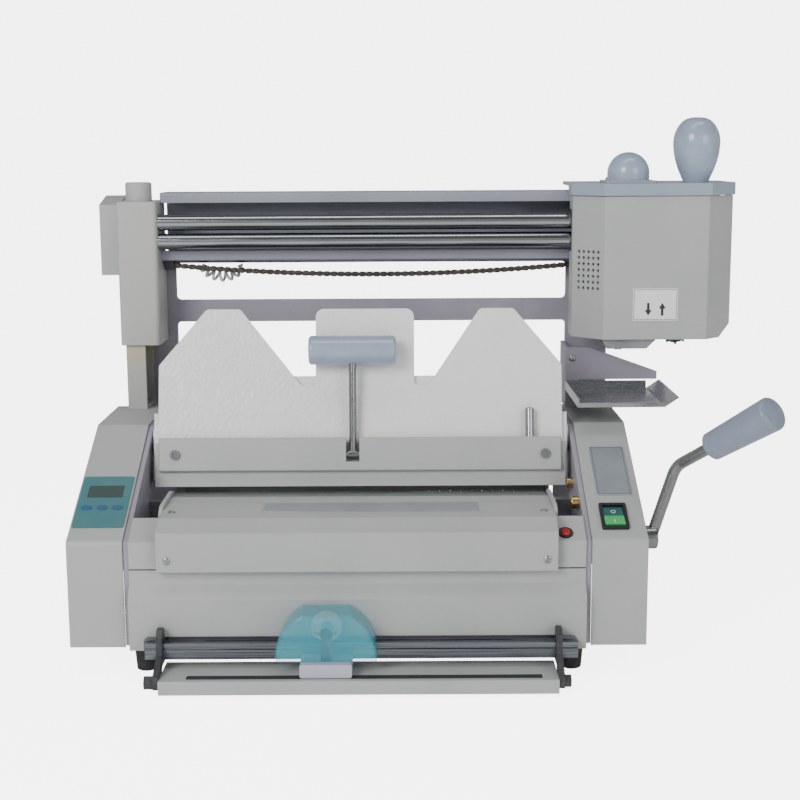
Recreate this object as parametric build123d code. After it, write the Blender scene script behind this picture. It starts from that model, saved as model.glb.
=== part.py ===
from build123d import *
import math
import os

# Perfect binding machine for A4 books, table-top, with a clamp that turns over to the glue head.
# Millimetres. +X to the machine's right, +Y to its back, +Z up. Origin on the table, at the middle
# of the whole outline in X and Y. Half-widths and X offsets are taken from the machine's mid-plane.

# Overall places and clearances
MID_X = -45.0
FRONT_Y = -110.0
FOOT_HEIGHT = 24.0
RUNNING_GAP = 0.05
SHEET_GAP = 0.2
EASY_GAP = 0.5

# Clamp. Its width drives the width of the whole machine.
JAW_HALF = 167.5
JAW_PLATE = 3.0
JAW_HEIGHT = 148.0
JAW_VALLEY = 84.0
JAW_SHOULDER = 101.0
JAW_PEAK_INSET = 39.5
JAW_PEAK_WIDTH = 28.0
JAW_TAB_HALF = 41.0
JAW_TAB_X = 4.0
JAW_NOTCH_FLARE = 12.0
JAW_TRAVEL = 36.0
JAW_GAP = 0.4
CLAMP_LEAN = 14.5
CLAMP_FOOT_Y = -4.0
CLAMP_FOOT_Z = 125.2
PIVOT_Y = 26.0
PIVOT_Z = 160.0
TRUNNION_RADIUS = 7.0
TRUNNION_COLLAR = 12.0
CHEEK = 4.0
CHEEK_HALF = JAW_HALF + CHEEK
CHEEK_ROUND = 10.0
CHEEK_LOW = 6.0
CHEEK_OVER_PIVOT = 20.0
CHEEK_BEHIND_PIVOT = 14.0
REAR_PLATE = 6.0
REAR_PLATE_HEIGHT = 92.0
JAW_BAR = 5.0
JAW_BAR_HEIGHT = 36.0
JAW_BAR_HALF = JAW_HALF + 1.5
STRIP = 5.0
STRIP_LOW = 12.5
STRIP_HIGH = 40.0
STRIP_HALF = JAW_HALF - 2.0
GUIDE_PIN_RADIUS = 4.0
GUIDE_PIN_X = JAW_HALF - 29.5
GUIDE_PIN_HEIGHT = 57.0
GUIDE_PIN_SPARE = 6.0
SOCKET_SCREW_X = STRIP_HALF - 13.5
SOCKET_SCREW_HEIGHT = 26.0
SOCKET_SCREW_RADIUS = 4.0
SOCKET_SCREW_HEAD = 2.4
SOCKET_RADIUS = 2.1
T_LEVER_X = -6.0
T_LEVER_PIVOT_HEIGHT = 26.0
T_LEVER_OUT = 9.0
T_LEVER_LENGTH = 86.0
T_LEVER_REST_TILT = 5.0
T_LEVER_ROD_RADIUS = 3.0
T_LEVER_EYE_RADIUS = 3.6
T_LEVER_EYE_HALF = 3.8
LEVER_PIN_RADIUS = 2.0
LEVER_PIN_END = 5.0
LEVER_NOTCH_HALF = 5.5
LEVER_NOTCH_BELOW = 6.0
T_GRIP_RADIUS = 12.0
T_GRIP_LENGTH = 72.0
T_GRIP_ROUND = 3.0
PEG_RADIUS = 3.75
PEG_LENGTH = 24.0
PEG_X = STRIP_HALF - 25.5

# Side covers and side plates
SIDE_PLATE = 4.0
SIDE_PLATE_INSET = 1.6
SIDE_PLATE_DEPTH = 252.0
CLAMP_SIDE_ROOM = 3.0
COVER_INNER = CHEEK_HALF + CLAMP_SIDE_ROOM + SIDE_PLATE
COVER_WIDTH = 43.0
COVER_OUTER = COVER_INNER + COVER_WIDTH
COVER_DEPTH = 224.0
COVER_BEND_Z = 107.0
COVER_TOP_Z = 173.0
COVER_SLOPE_RUN = 134.0
COVER_WALL = 2.0
COVER_BEND_RADIUS = 5.0
PAN_SHEET = 2.0
PAN_FLANGE = 12.0
PAN_FOOT_GAP = 1.0

# Temperature panel and switch on the covers' slopes
PANEL_WIDTH = 40.0
PANEL_LENGTH = 62.0
PANEL_ALONG = 48.0
PANEL_FILM = 0.8
WINDOW_WIDTH = 28.0
WINDOW_LENGTH = 15.0
WINDOW_UP = 12.0
KEY_PITCH = 12.0
KEY_DOWN = 8.0
KEY_HALF_WIDTH = 4.2
KEY_HALF_LENGTH = 2.6
KEY_PROUD = 0.7
SWITCH_INWARD = 2.0
SWITCH_WIDTH = 21.0
SWITCH_LENGTH = 30.0
SWITCH_ALONG = 27.0
SWITCH_RIM = 2.5
SWITCH_PROUD = 2.0
SWITCH_DEPTH = 5.5
ROCKER_ROOT = 3.6
ROCKER_SHOULDER = 1.5
ROCKER_TILT = 6.0

# Front covers
FRONT_SHEET = 2.0
WING_LOW_Z = 86.0
WING_TOP_Z = 120.0
WING_RUN = 25.0
LOWER_PANEL_TOP_Z = 85.0
LOWER_PANEL_STEP = 8.0
LOWER_PANEL_BAND_TOP_Z = 74.0
LOWER_PANEL_BAND_LOW_Z = 64.0
LOWER_NOTCH_X = 2.0
LOWER_NOTCH_Z = 35.0
LOWER_NOTCH_HALF = COVER_INNER - 13.5
LOWER_NOTCH_RADIUS = 4.0
CONSOLE_HALF = COVER_INNER - 26.5
CONSOLE_PROUD = 8.0
CONSOLE_LOW_Z = 85.5
CONSOLE_BEND_Z = 116.0
CONSOLE_TOP_Z = 124.0
CONSOLE_SLOPE_RUN = 15.0
CONSOLE_FLAT_RUN = 49.0
END_PLATE = 3.0
END_PLATE_DROP = 26.0
END_PLATE_RISE = 3.0
END_PLATE_RADIUS = 14.0
COVER_SCREW_INSET = 8.0
COVER_SCREW_UP = 9.0
COVER_SCREW_BACK = 18.0
COVER_SCREW_RADIUS = 2.8
COVER_SCREW_HEAD = 1.4

# Push button on the right wing
BUTTON_X = CONSOLE_HALF + 7.0
BUTTON_ALONG = 8.0
BUTTON_RADIUS = 3.6
BUTTON_BASE_RADIUS = 5.5
BUTTON_BASE_RIM = 1.6
BUTTON_SLEEVE = 1.1
BUTTON_BODY = 6.0
BUTTON_FLOOR = 1.5
BUTTON_RISE = 3.4

# Feet
FOOT_X = COVER_INNER - 12.5
FOOT_TOP_RADIUS = 10.0
FOOT_LOW_RADIUS = 8.0
FOOT_ROUND = 1.5
FOOT_FRONT_Y = -90.0
FOOT_BACK_Y = 124.0

# Nip
NIP_SHAFT_Y = -90.0
NIP_SHAFT_Z = 104.0
NIP_SHAFT_RADIUS = 5.0
ECCENTRIC_RADIUS = 11.0
ECCENTRIC_THROW = 5.0
ECCENTRIC_WIDTH = 14.0
PUSH_ROD_X = 110.0
PUSH_ROD_RADIUS = 4.0
PUSH_ROD_REST_GAP = 0.3
NIP_OPENING = 5.0
NIP_BAR_FRONT_Y = -34.0
NIP_BAR_BACK_Y = -13.0
NIP_BAR_LOW_Z = 98.0
NIP_BAR_END_GAP = 1.0
NIP_BED_THICKNESS = 8.0
NIP_BED_BACK_Y = 2.0
NIP_REAR_JAW_TOP_Z = 114.0
TABLE_STRIP = 4.0
TABLE_STRIP_WEB = 3.0

# Nip lever, outside the right cover
LEVER_HUB_RADIUS = 9.0
LEVER_HUB_WIDTH = 9.0
LEVER_ROD_RADIUS = 4.5
LEVER_STRAIGHT = 39.0
LEVER_BEND_RADIUS = 16.0
LEVER_GRIP_START = (COVER_OUTER + 44.5, -114.0, 180.0)
LEVER_GRIP_END = (COVER_OUTER + 80.5, -156.0, 214.0)
LEVER_GRIP_RADIUS = 13.0
LEVER_GRIP_TAPER = 0.84
LEVER_GRIP_CROWN = 5.0

# Creasing unit
RAIL_LEFT = -CONSOLE_HALF - 9.0
RAIL_RIGHT = CONSOLE_HALF + 15.0
RAIL_FRONT_Y = -128.0
RAIL_BACK_Y = -120.0
RAIL_LOW_Z = 20.4
RAIL_TOP_Z = 33.0
RAIL_GROOVE = 2.0
RAIL_GROOVE_DEPTH = 1.5
PLATFORM_HALF = CONSOLE_HALF - 3.5
PLATFORM_MID = 1.5
PLATFORM_FRONT_Y = -157.0
PLATFORM_BACK_Y = -114.0
PLATFORM_TOP_Z = 13.5
PLATFORM_LOW_Z = 3.0
PLATFORM_SHEET = 3.0
PLATFORM_SLOT_BACK = 7.0
PLATFORM_SLOT_LEFT = 20.0
PLATFORM_SLOT_RIGHT = 12.0
PLATFORM_SLOT_DEPTH = 1.0
ARM = 4.5
ARM_TOP_Z = 44.0
ARM_LOW_Z = 6.0
ARM_TONGUE_LOW_Z = 17.0
THUMB_BACK = 9.0
THUMB_KNOB_RADIUS = 5.0
THUMB_KNOB_LENGTH = 7.0
THUMB_GROOVES = 12
THUMB_GROOVE_RADIUS = 0.7
THUMB_PIN_RADIUS = 2.0
ARM_NUT = 5.0
SLIDER_X = -23.0
SLIDER_BLOCK_HALF = 19.5
SLIDER_BLOCK_FRONT = 6.0
GUARD_HALF = 38.0
GUARD_LOW_Z = 24.5
GUARD_TOP_Z = 60.5
GUARD_FRONT_Y = -146.0
GUARD_BACK_Y = -119.5
GUARD_WALL = 2.0
GUARD_SHOULDER = 20.0
GUARD_BULGE_IN = 6.5
GUARD_BULGE_UP = 0.66
WHEEL_RADIUS = 12.0
WHEEL_HALF = 3.5
WHEEL_TREAD_HALF = 1.5
WHEEL_TAPER = 1.2
WHEEL_AXLE_RADIUS = 2.5
WHEEL_AXLE_COLLAR = 5.0

# Rear frame, post, rods and channel
POST_LEFT = -COVER_OUTER + 8.5
POST_WIDTH = 35.0
POST_RIGHT = POST_LEFT + POST_WIDTH
POST_FRONT_Y = 92.0
POST_LOW_Z = 231.0
POST_TOP_Z = 356.5
POST_WALL = 2.5
POST_CORNER = 4.0
POST_CAP_RADIUS = 11.5
POST_CAP_TOP_Z = 373.0
POST_CAP_FORWARD = 8.0
COLUMN_INSET = 4.0
COLUMN_LEFT = POST_LEFT + COLUMN_INSET
COLUMN_RIGHT = COLUMN_LEFT + 17.0
END_COVER_LEFT = POST_LEFT - 18.0
END_COVER_DROP = 12.0
END_COVER_RISE = 4.0
REAR_FRAME_Y = 142.0
REAR_FRAME = 5.0
REAR_FRAME_LEFT = POST_LEFT
REAR_FRAME_RIGHT = COVER_OUTER + 0.5
REAR_OPENING_LEFT = POST_RIGHT + 8.0
REAR_OPENING_RIGHT = COVER_INNER + 5.5
REAR_OPENING_LOW_Z = 38.0
REAR_OPENING_RADIUS = 4.0
CROSSBAR_LOW_Z = 246.0
CROSSBAR_TOP_Z = 266.0

# Head, beside the right cover and over it
HEAD_LEFT = COVER_INNER + 4.5
HEAD_WIDTH = 138.0
HEAD_RIGHT = HEAD_LEFT + HEAD_WIDTH
HEAD_FRONT_Y = 60.0
HEAD_BACK_Y = 108.0
HEAD_LOW_Z = 238.0
HEAD_TOP_Z = 360.0
HEAD_WALL = 2.0
HEAD_CHAMFER = 25.0
HEAD_CORNER = 3.0
HEAD_LOW_BEVEL = 12.0
LID_SKIRT_Z = 360.4
LID_TOP_Z = 371.0
LID_SHEET = 3.0
LID_OVERHANG = 1.5
VENT_COLUMNS = 5
VENT_ROWS = 7
VENT_PITCH = 5.2
VENT_RADIUS = 1.5
VENT_DOWN = 63.0
DOME_X = HEAD_LEFT + 47.0
DOME_RADIUS = 18.0
DOME_TOP_Z = 397.0
FILLER_RADIUS = 15.0
FLAP_HALF = 22.0
FLAP = 2.0
FLAP_REST_GAP = 0.1
FLAP_CORNER = 3.0
HINGE_RISE = 2.2
HINGE_RADIUS = 2.0
HINGE_PIN_RADIUS = 1.0
HINGE_HALF = 16.0
KNUCKLE = 6.0
PEAR_X = HEAD_RIGHT - 33.0
PEAR_TOP_Z = 426.0
KNOB_Y = 84.0
BLOCK_LEFT = HEAD_LEFT + 22.0
BLOCK_RIGHT = HEAD_RIGHT - 21.0
TANK_LEFT = HEAD_LEFT + 24.0
TANK_RIGHT = TANK_LEFT + 39.0
TANK_TOP_Z = 300.0
TANK_WALL = 2.0
GLUE_ROLLER_X = HEAD_LEFT + 39.0
GLUE_ROLLER_RADIUS = 11.0
GLUE_ROLLER_Z = 239.0
GLUE_GROOVES = 12
GLUE_GROOVE_RADIUS = 0.9
GLUE_SHOE_DROP = 8.5
ROLLER_AXLE_RADIUS = 3.0
CUTTER_X = HEAD_LEFT + 89.0
CUTTER_Z = 247.0
CUTTER_RADIUS = 15.0
CUTTER_TEETH = 12
CUTTER_FRONT_Y = 73.0
CUTTER_THICKNESS = 4.0
CUTTER_SHAFT_RADIUS = 3.0
CUTTER_COLLAR_RADIUS = 6.0
CUTTER_SHAFT_SEAT = 8.0
MOTOR_RADIUS = 14.0

# Rods and channel, which reach from the post to the head's right side
ROD_RADIUS = 7.0
ROD_Y = 102.0
ROD_HIGH_Z = 338.0
ROD_LOW_Z = 321.5
ROD_END_PLATE = 8.0
CHANNEL_RIGHT = HEAD_RIGHT - 5.0
CHANNEL_LOW_Z = 303.5
CHANNEL_TOP_Z = 363.5
CHANNEL_FRONT_Y = 114.0
CHANNEL_BACK_Y = 154.0
CHANNEL_SHEET = 3.0
CHANNEL_LIP = 9.0

# Chain and curly cord
CHAIN_PITCH = 6.35
CHAIN_Y = 126.0
CHAIN_LEFT = POST_RIGHT + 6.0
CHAIN_RIGHT = HEAD_LEFT + 14.0
CHAIN_END_Z = 299.0
CHAIN_SAG = 9.0
CHAIN_ROLLER_RADIUS = 1.65
CHAIN_ROLLER_WIDTH = 3.2
CHAIN_PLATE = 0.8
CHAIN_PLATE_HEIGHT = 5.6
HANGER_SHEET = 1.2
HANGER_HALF = 4.0
HANGER_PIN_OVER = 4.0
CORD_LEFT = POST_RIGHT + 34.0
CORD_RIGHT = CORD_LEFT + 34.0
CORD_Y = 138.0
CORD_DIP = 11.0
CORD_TOP_Z = 298.5
CORD_CURLS = 8
CORD_WIRE_RADIUS = 1.4
CORD_COIL_RADIUS = 3.6
GLAND_RADIUS = 3.0
GLAND_INSIDE = 1.5

# Back box
BACK_BOX_HALF = COVER_INNER - 6.5
BACK_BOX_TOP_Z = 100.0
BACK_BOX_BACK_Y = 166.5
BACK_BOX_SHEET = 2.0
BACK_BOX_SLOTS = 9
BACK_BOX_SLOT_PITCH = 10.0
BACK_BOX_SLOT_X = 60.0
BACK_BOX_SLOT_Z = 64.0
INLET_X = -120.0
INLET_Z = 60.0
INLET_HALF_WIDTH = 14.0
INLET_HALF_HEIGHT = 10.0
INLET_RIM = 2.5
INLET_DEPTH = 12.0
CONTROL_BOX_HALF = 120.0
CONTROL_BOX_DEPTH = 47.8
CONTROL_BOX_TOP = 50.0

# Tray
TRAY_LEFT = COVER_INNER + 1.5
TRAY_RIGHT = TRAY_LEFT + 84.0
TRAY_FRONT_Y = 4.0
TRAY_BACK_Y = 96.5
TRAY_Z = 189.0
TRAY_RIM = 8.0
TRAY_RAMP = 12.0
TRAY_SHEET = 1.2
BRACKET_SHEET = 3.0
BRACKET_TOP_Z = 227.0
BRACKET_TIP_TOP_Z = 205.0
BRACKET_TIP_LOW_Z = 198.0

# Guides at the right end of the table
GUIDE_BUSH_Z = 130.0
GUIDE_BUSH_RADIUS = 4.0
GUIDE_BUSH_BORE = 2.0
GUIDE_BUSH_LENGTH = 5.0
STOP_ROLLER_RADIUS = 5.0
STOP_ROLLER_LENGTH = 7.0
STOP_ROLLER_BACK = 52.0

# Basic shapes. X is given from the mid-plane, Y and Z in the machine's frame.

os.makedirs("parts", exist_ok=True)
BASE = (Align.CENTER, Align.CENTER, Align.MIN)


def save(name, *solids):
    """Writes one sub-part, shifted from the mid-plane to the origin, as one file."""
    placed = [Pos(MID_X, 0, 0) * solid for solid in solids]
    shape = placed[0] if len(placed) == 1 else Compound(children=placed)
    export_step(shape, f"parts/{name}.step")


def block(x0, x1, y0, y1, z0, z1):
    """A box between two corners."""
    place = Pos((x0 + x1) / 2, (y0 + y1) / 2, (z0 + z1) / 2)
    return place * Box(x1 - x0, y1 - y0, z1 - z0)


def across(face_points, x0, x1):
    """A side outline in Y and Z, made x1 - x0 wide."""
    face = make_face(Polyline(*face_points, close=True))
    return extrude(Plane.YZ.offset(x0) * face, amount=x1 - x0)


def frontal(face, y0, y1):
    """A front outline in X and Z, made y1 - y0 deep."""
    plane = Plane(origin=(0, y0, 0), x_dir=(1, 0, 0), z_dir=(0, -1, 0))
    return extrude(plane * face, amount=-(y1 - y0))


def outline(*points):
    """A flat face inside a closed line of points."""
    return make_face(Polyline(*points, close=True))


def shaft(x0, x1, y, z, radius):
    """A round bar along X."""
    return Plane(origin=(x0, y, z), z_dir=(1, 0, 0)) * Cylinder(radius, x1 - x0, align=BASE)


def spindle(x, y0, y1, z, radius):
    """A round bar along Y."""
    return Plane(origin=(x, y0, z), z_dir=(0, 1, 0)) * Cylinder(radius, y1 - y0, align=BASE)


def pillar(x, y, z0, z1, radius):
    """A round bar along Z."""
    return Pos(x, y, z0) * Cylinder(radius, z1 - z0, align=BASE)


# Base: floor pan, side plates and side covers

pan_front_y = FRONT_Y + LOWER_PANEL_STEP
pan_low_z = FOOT_HEIGHT + PAN_FOOT_GAP
plate_inner = COVER_INNER - SIDE_PLATE
front_half = plate_inner - SHEET_GAP
side_back_y = FRONT_Y + SIDE_PLATE_DEPTH
pan = block(-front_half, front_half, pan_front_y, side_back_y, pan_low_z, pan_low_z + PAN_SHEET)
for flange_y in (pan_front_y, side_back_y - PAN_SHEET):
    flange_top_z = pan_low_z + PAN_FLANGE
    pan += block(-front_half, front_half, flange_y, flange_y + PAN_SHEET, pan_low_z, flange_top_z)


def side_profile(inset, back_y, low_z):
    """The side outline: upright front, slope and flat top, drawn in by an inset."""
    front = FRONT_Y + inset
    top = COVER_TOP_Z - inset
    bend = COVER_BEND_Z - inset / 2
    slope_end = FRONT_Y + COVER_SLOPE_RUN + inset / 2
    return [(front, low_z), (front, bend), (slope_end, top), (back_y, top), (back_y, low_z)]


def side_plate(side):
    """An inner side plate with the bores of the clamp's trunnion and the nip shaft."""
    x0, x1 = sorted((side * plate_inner, side * COVER_INNER))
    plate = across(side_profile(SIDE_PLATE_INSET, side_back_y, pan_low_z), x0, x1)
    plate -= shaft(x0 - 1, x1 + 1, PIVOT_Y, PIVOT_Z, TRUNNION_RADIUS + RUNNING_GAP)
    plate -= shaft(x0 - 1, x1 + 1, NIP_SHAFT_Y, NIP_SHAFT_Z, NIP_SHAFT_RADIUS + RUNNING_GAP)
    return plate


def side_cover(side):
    """A folded cover, open below and to the inside. The nip shaft comes out of the right one."""
    start = COVER_INNER + SHEET_GAP
    back_y = FRONT_Y + COVER_DEPTH
    width = COVER_OUTER - start
    plane = Plane.YZ.offset(start)
    face = make_face(Polyline(*side_profile(0, back_y, FOOT_HEIGHT), close=True))
    face = fillet(face.vertices().sort_by(Axis.X)[1:-2], COVER_BEND_RADIUS)
    inner = offset(face, amount=-COVER_WALL)
    shell = extrude(plane * face, amount=width)
    cavity = extrude(plane.offset(-1) * inner, amount=width - COVER_WALL + 1)
    shell -= cavity
    shell -= Pos(0, 0, -2 * COVER_WALL) * cavity
    if side < 0:
        return mirror(shell, about=Plane.YZ)
    return shell - shaft(start, COVER_OUTER + 1, NIP_SHAFT_Y, NIP_SHAFT_Z, NIP_SHAFT_RADIUS + EASY_GAP)


save("base_frame", pan, side_plate(-1), side_plate(1))
right_cover = side_cover(1)
left_cover = side_cover(-1)

foot = []
for foot_side in (-1, 1):
    for foot_y in (FOOT_FRONT_Y, FOOT_BACK_Y):
        cone = Cone(FOOT_LOW_RADIUS, FOOT_TOP_RADIUS, pan_low_z, align=BASE)
        cone = fillet(cone.edges().sort_by(Axis.Z)[0], FOOT_ROUND)
        foot.append(Pos(foot_side * FOOT_X, foot_y, 0) * cone)
save("rubber_feet", *foot)

# Places on the slope of a side cover: distance up the slope from the bend

slope_angle = math.atan2(COVER_TOP_Z - COVER_BEND_Z, COVER_SLOPE_RUN)


def on_slope(x, along):
    """A plane lying on the cover's slope: local X to the right, local Y up the slope."""
    y = FRONT_Y + along * math.cos(slope_angle)
    z = COVER_BEND_Z + along * math.sin(slope_angle)
    normal = (0, -math.sin(slope_angle), math.cos(slope_angle))
    return Plane(origin=(x, y, z), x_dir=(1, 0, 0), z_dir=normal)


cover_middle = (COVER_INNER + SHEET_GAP + COVER_OUTER) / 2
panel_plane = on_slope(-cover_middle, PANEL_ALONG)
panel = extrude(RectangleRounded(PANEL_WIDTH, PANEL_LENGTH, 2), amount=PANEL_FILM)
window_place = Pos(0, WINDOW_UP, 0)
window_face = RectangleRounded(WINDOW_WIDTH, WINDOW_LENGTH, 1)
panel -= window_place * extrude(window_face, amount=PANEL_FILM + 1)
save("temperature_panel", panel_plane * panel)
pane_face = RectangleRounded(WINDOW_WIDTH - 2 * RUNNING_GAP, WINDOW_LENGTH - 2 * RUNNING_GAP, 1)
save("display_window", panel_plane * window_place * extrude(pane_face, amount=PANEL_FILM))
key = extrude(Ellipse(KEY_HALF_WIDTH, KEY_HALF_LENGTH), amount=KEY_PROUD)
keys = [panel_plane * Pos(key_x, -KEY_DOWN, PANEL_FILM) * key for key_x in (-KEY_PITCH, 0, KEY_PITCH)]
save("panel_keys", *keys)

switch_plane = on_slope(cover_middle - SWITCH_INWARD, SWITCH_ALONG)
opening_width = SWITCH_WIDTH - 2 * SWITCH_RIM
opening_length = SWITCH_LENGTH - 2 * SWITCH_RIM
body_face = Rectangle(opening_width + 2, opening_length + 2)
well_face = Rectangle(opening_width, opening_length)
bezel = extrude(RectangleRounded(SWITCH_WIDTH, SWITCH_LENGTH, 1.5), amount=SWITCH_PROUD)
bezel += Pos(0, 0, -SWITCH_DEPTH) * extrude(body_face, amount=SWITCH_DEPTH)
bezel -= Pos(0, 0, 1 - SWITCH_DEPTH) * extrude(well_face, amount=SWITCH_DEPTH + SWITCH_PROUD)
save("switch_bezel", switch_plane * bezel)
rocker_half = opening_length / 2 - 1.0
rocker_width = opening_width - 2 * SHEET_GAP
dip = rocker_half * math.sin(math.radians(ROCKER_TILT))
rocker_side = outline(
    (-rocker_half, 1.6 + dip), (0, 1.4), (rocker_half, 1.6 - dip), (rocker_half - 1, -ROCKER_SHOULDER),
    (3, -ROCKER_ROOT), (-3, -ROCKER_ROOT), (1 - rocker_half, -ROCKER_SHOULDER),
)
rocker_end = Plane(origin=(-rocker_width / 2, 0, 0), x_dir=(0, 1, 0), z_dir=(1, 0, 0))
save("switch_rocker", switch_plane * extrude(rocker_end * rocker_side, amount=rocker_width))
switch_cut = Box(opening_width + 2 + SHEET_GAP, opening_length + 2 + SHEET_GAP, SWITCH_DEPTH)
right_cover -= switch_plane * Pos(0, 0, -SWITCH_DEPTH / 2) * switch_cut
save("left_side_cover", left_cover)
save("right_side_cover", right_cover)

# Front covers


def sheet_profile(points, thickness):
    """A bent sheet: the given outside line with the same line one thickness behind and below it."""
    inside = [(y + thickness, z - thickness * 0.45) for y, z in points[1:-1]]
    first = (points[0][0] + thickness, points[0][1])
    last = (points[-1][0], points[-1][1] - thickness)
    return [*points, last, *reversed(inside), first]


wing_points = [
    (FRONT_Y, WING_LOW_Z),
    (FRONT_Y, COVER_BEND_Z),
    (FRONT_Y + WING_RUN, WING_TOP_Z),
]
base_front = across(sheet_profile(wing_points, FRONT_SHEET), -front_half, front_half)
wing_angle = math.atan2(WING_TOP_Z - COVER_BEND_Z, WING_RUN)
button_y = FRONT_Y + BUTTON_ALONG * math.cos(wing_angle)
button_z = COVER_BEND_Z + BUTTON_ALONG * math.sin(wing_angle)
button_plane = Plane(
    origin=(BUTTON_X, button_y, button_z),
    x_dir=(1, 0, 0),
    z_dir=(0, -math.sin(wing_angle), math.cos(wing_angle)),
)
sleeve_radius = BUTTON_RADIUS + BUTTON_SLEEVE
base_front -= button_plane * Cylinder(sleeve_radius + SHEET_GAP / 2, 20)
save("base_front_cover", base_front)
button_base = Cylinder(BUTTON_BASE_RADIUS, BUTTON_BASE_RIM, align=BASE)
button_base += Pos(0, 0, -BUTTON_BODY) * Cylinder(sleeve_radius, BUTTON_BODY, align=BASE)
button_well = Cylinder(BUTTON_RADIUS + RUNNING_GAP, 3 * BUTTON_BODY, align=BASE)
button_base -= Pos(0, 0, BUTTON_FLOOR - BUTTON_BODY) * button_well
save("button_base", button_plane * button_base)
button = Cylinder(BUTTON_RADIUS, BUTTON_BODY - 1.0, align=BASE)
button = fillet(button.edges().sort_by(Axis.Z)[-1], 1.0)
save("push_button", button_plane * Pos(0, 0, BUTTON_RISE - BUTTON_BODY) * button)

lower_points = [
    (FRONT_Y - LOWER_PANEL_STEP, FOOT_HEIGHT),
    (FRONT_Y - LOWER_PANEL_STEP, LOWER_PANEL_BAND_LOW_Z),
    (FRONT_Y, LOWER_PANEL_BAND_TOP_Z),
    (FRONT_Y, LOWER_PANEL_TOP_Z),
    (FRONT_Y + FRONT_SHEET, LOWER_PANEL_TOP_Z),
    (FRONT_Y + FRONT_SHEET, LOWER_PANEL_BAND_TOP_Z - FRONT_SHEET / 2),
    (FRONT_Y - LOWER_PANEL_STEP + FRONT_SHEET, LOWER_PANEL_BAND_LOW_Z - FRONT_SHEET / 2),
    (FRONT_Y - LOWER_PANEL_STEP + FRONT_SHEET, FOOT_HEIGHT),
]
lower_panel = across(lower_points, -front_half, front_half)
notch_face = RectangleRounded(2 * LOWER_NOTCH_HALF, 2 * (LOWER_NOTCH_Z - FOOT_HEIGHT), LOWER_NOTCH_RADIUS)
lower_panel -= frontal(Pos(LOWER_NOTCH_X, FOOT_HEIGHT) * notch_face, FRONT_Y - 20, FRONT_Y + 10)
save("lower_front_panel", lower_panel)

console_front_y = FRONT_Y - CONSOLE_PROUD
console_slope_y = console_front_y + CONSOLE_SLOPE_RUN
console_back_y = console_slope_y + CONSOLE_FLAT_RUN
console_points = [
    (console_front_y, CONSOLE_LOW_Z),
    (console_front_y, CONSOLE_BEND_Z),
    (console_slope_y, CONSOLE_TOP_Z),
    (console_back_y, CONSOLE_TOP_Z),
]
console_inner = [
    (console_back_y, CONSOLE_TOP_Z - FRONT_SHEET),
    (console_slope_y + FRONT_SHEET / 4, CONSOLE_TOP_Z - FRONT_SHEET),
    (console_front_y + FRONT_SHEET, CONSOLE_BEND_Z - FRONT_SHEET * 0.6),
    (console_front_y + FRONT_SHEET, CONSOLE_LOW_Z),
]
console = across([*console_points, *console_inner], -CONSOLE_HALF, CONSOLE_HALF)
foot_flange = [
    (console_front_y, CONSOLE_LOW_Z),
    (console_front_y, CONSOLE_LOW_Z + FRONT_SHEET),
    (FRONT_Y - SHEET_GAP, CONSOLE_LOW_Z + FRONT_SHEET),
    (FRONT_Y - SHEET_GAP, CONSOLE_LOW_Z),
]
console += across(foot_flange, -CONSOLE_HALF, CONSOLE_HALF)
save("console_cover", console)

end_points = [
    (FRONT_Y + WING_RUN + 1, CONSOLE_TOP_Z - END_PLATE_DROP),
    (FRONT_Y + WING_RUN + 1, CONSOLE_TOP_Z + END_PLATE_RISE),
    (NIP_BAR_BACK_Y, CONSOLE_TOP_Z + END_PLATE_RISE),
    (NIP_BAR_BACK_Y, CONSOLE_TOP_Z - END_PLATE_DROP),
]
end_face = fillet(outline(*end_points).vertices().group_by(Axis.Y)[-1], END_PLATE_RADIUS)
end_plates = []
for side in (-1, 1):
    end_start = side * (CONSOLE_HALF + SHEET_GAP + END_PLATE / 2) - END_PLATE / 2
    end_plates.append(extrude(Plane.YZ.offset(end_start) * end_face, amount=END_PLATE))

# Nip: bed with the fixed rear jaw, sliding bar, push rods and the shaft with its eccentrics

bed_top_z = NIP_BAR_LOW_Z - SHEET_GAP
rear_jaw_y = NIP_BAR_BACK_Y + NIP_OPENING
bed_front_y = console_back_y + FRONT_SHEET
bed_low_z = bed_top_z - NIP_BED_THICKNESS
bed = block(-front_half, front_half, bed_front_y, NIP_BED_BACK_Y, bed_low_z, bed_top_z)
bed += block(-front_half, front_half, rear_jaw_y, NIP_BED_BACK_Y, bed_top_z, NIP_REAR_JAW_TOP_Z)
save("nip_bed", bed)
bar_half = CONSOLE_HALF - NIP_BAR_END_GAP
bar_top_z = CONSOLE_TOP_Z - EASY_GAP
nip_bar = block(-bar_half, bar_half, NIP_BAR_FRONT_Y, NIP_BAR_BACK_Y, NIP_BAR_LOW_Z, bar_top_z)
nip_bar = chamfer(nip_bar.edges().filter_by(Axis.X).sort_by(Axis.Z)[-2:], 1.5)
strip_back_y = NIP_BAR_FRONT_Y - EASY_GAP
strip_front_y = console_back_y + 1.2
strip_low_z = CONSOLE_TOP_Z - TABLE_STRIP
web_back_y = bed_front_y + TABLE_STRIP_WEB
strip = block(-CONSOLE_HALF, CONSOLE_HALF, strip_front_y, strip_back_y, strip_low_z, CONSOLE_TOP_Z)
strip += block(-CONSOLE_HALF, CONSOLE_HALF, bed_front_y, web_back_y, bed_top_z, strip_low_z)
rod_start_y = NIP_SHAFT_Y + ECCENTRIC_RADIUS + PUSH_ROD_REST_GAP
push_rods = []
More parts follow.
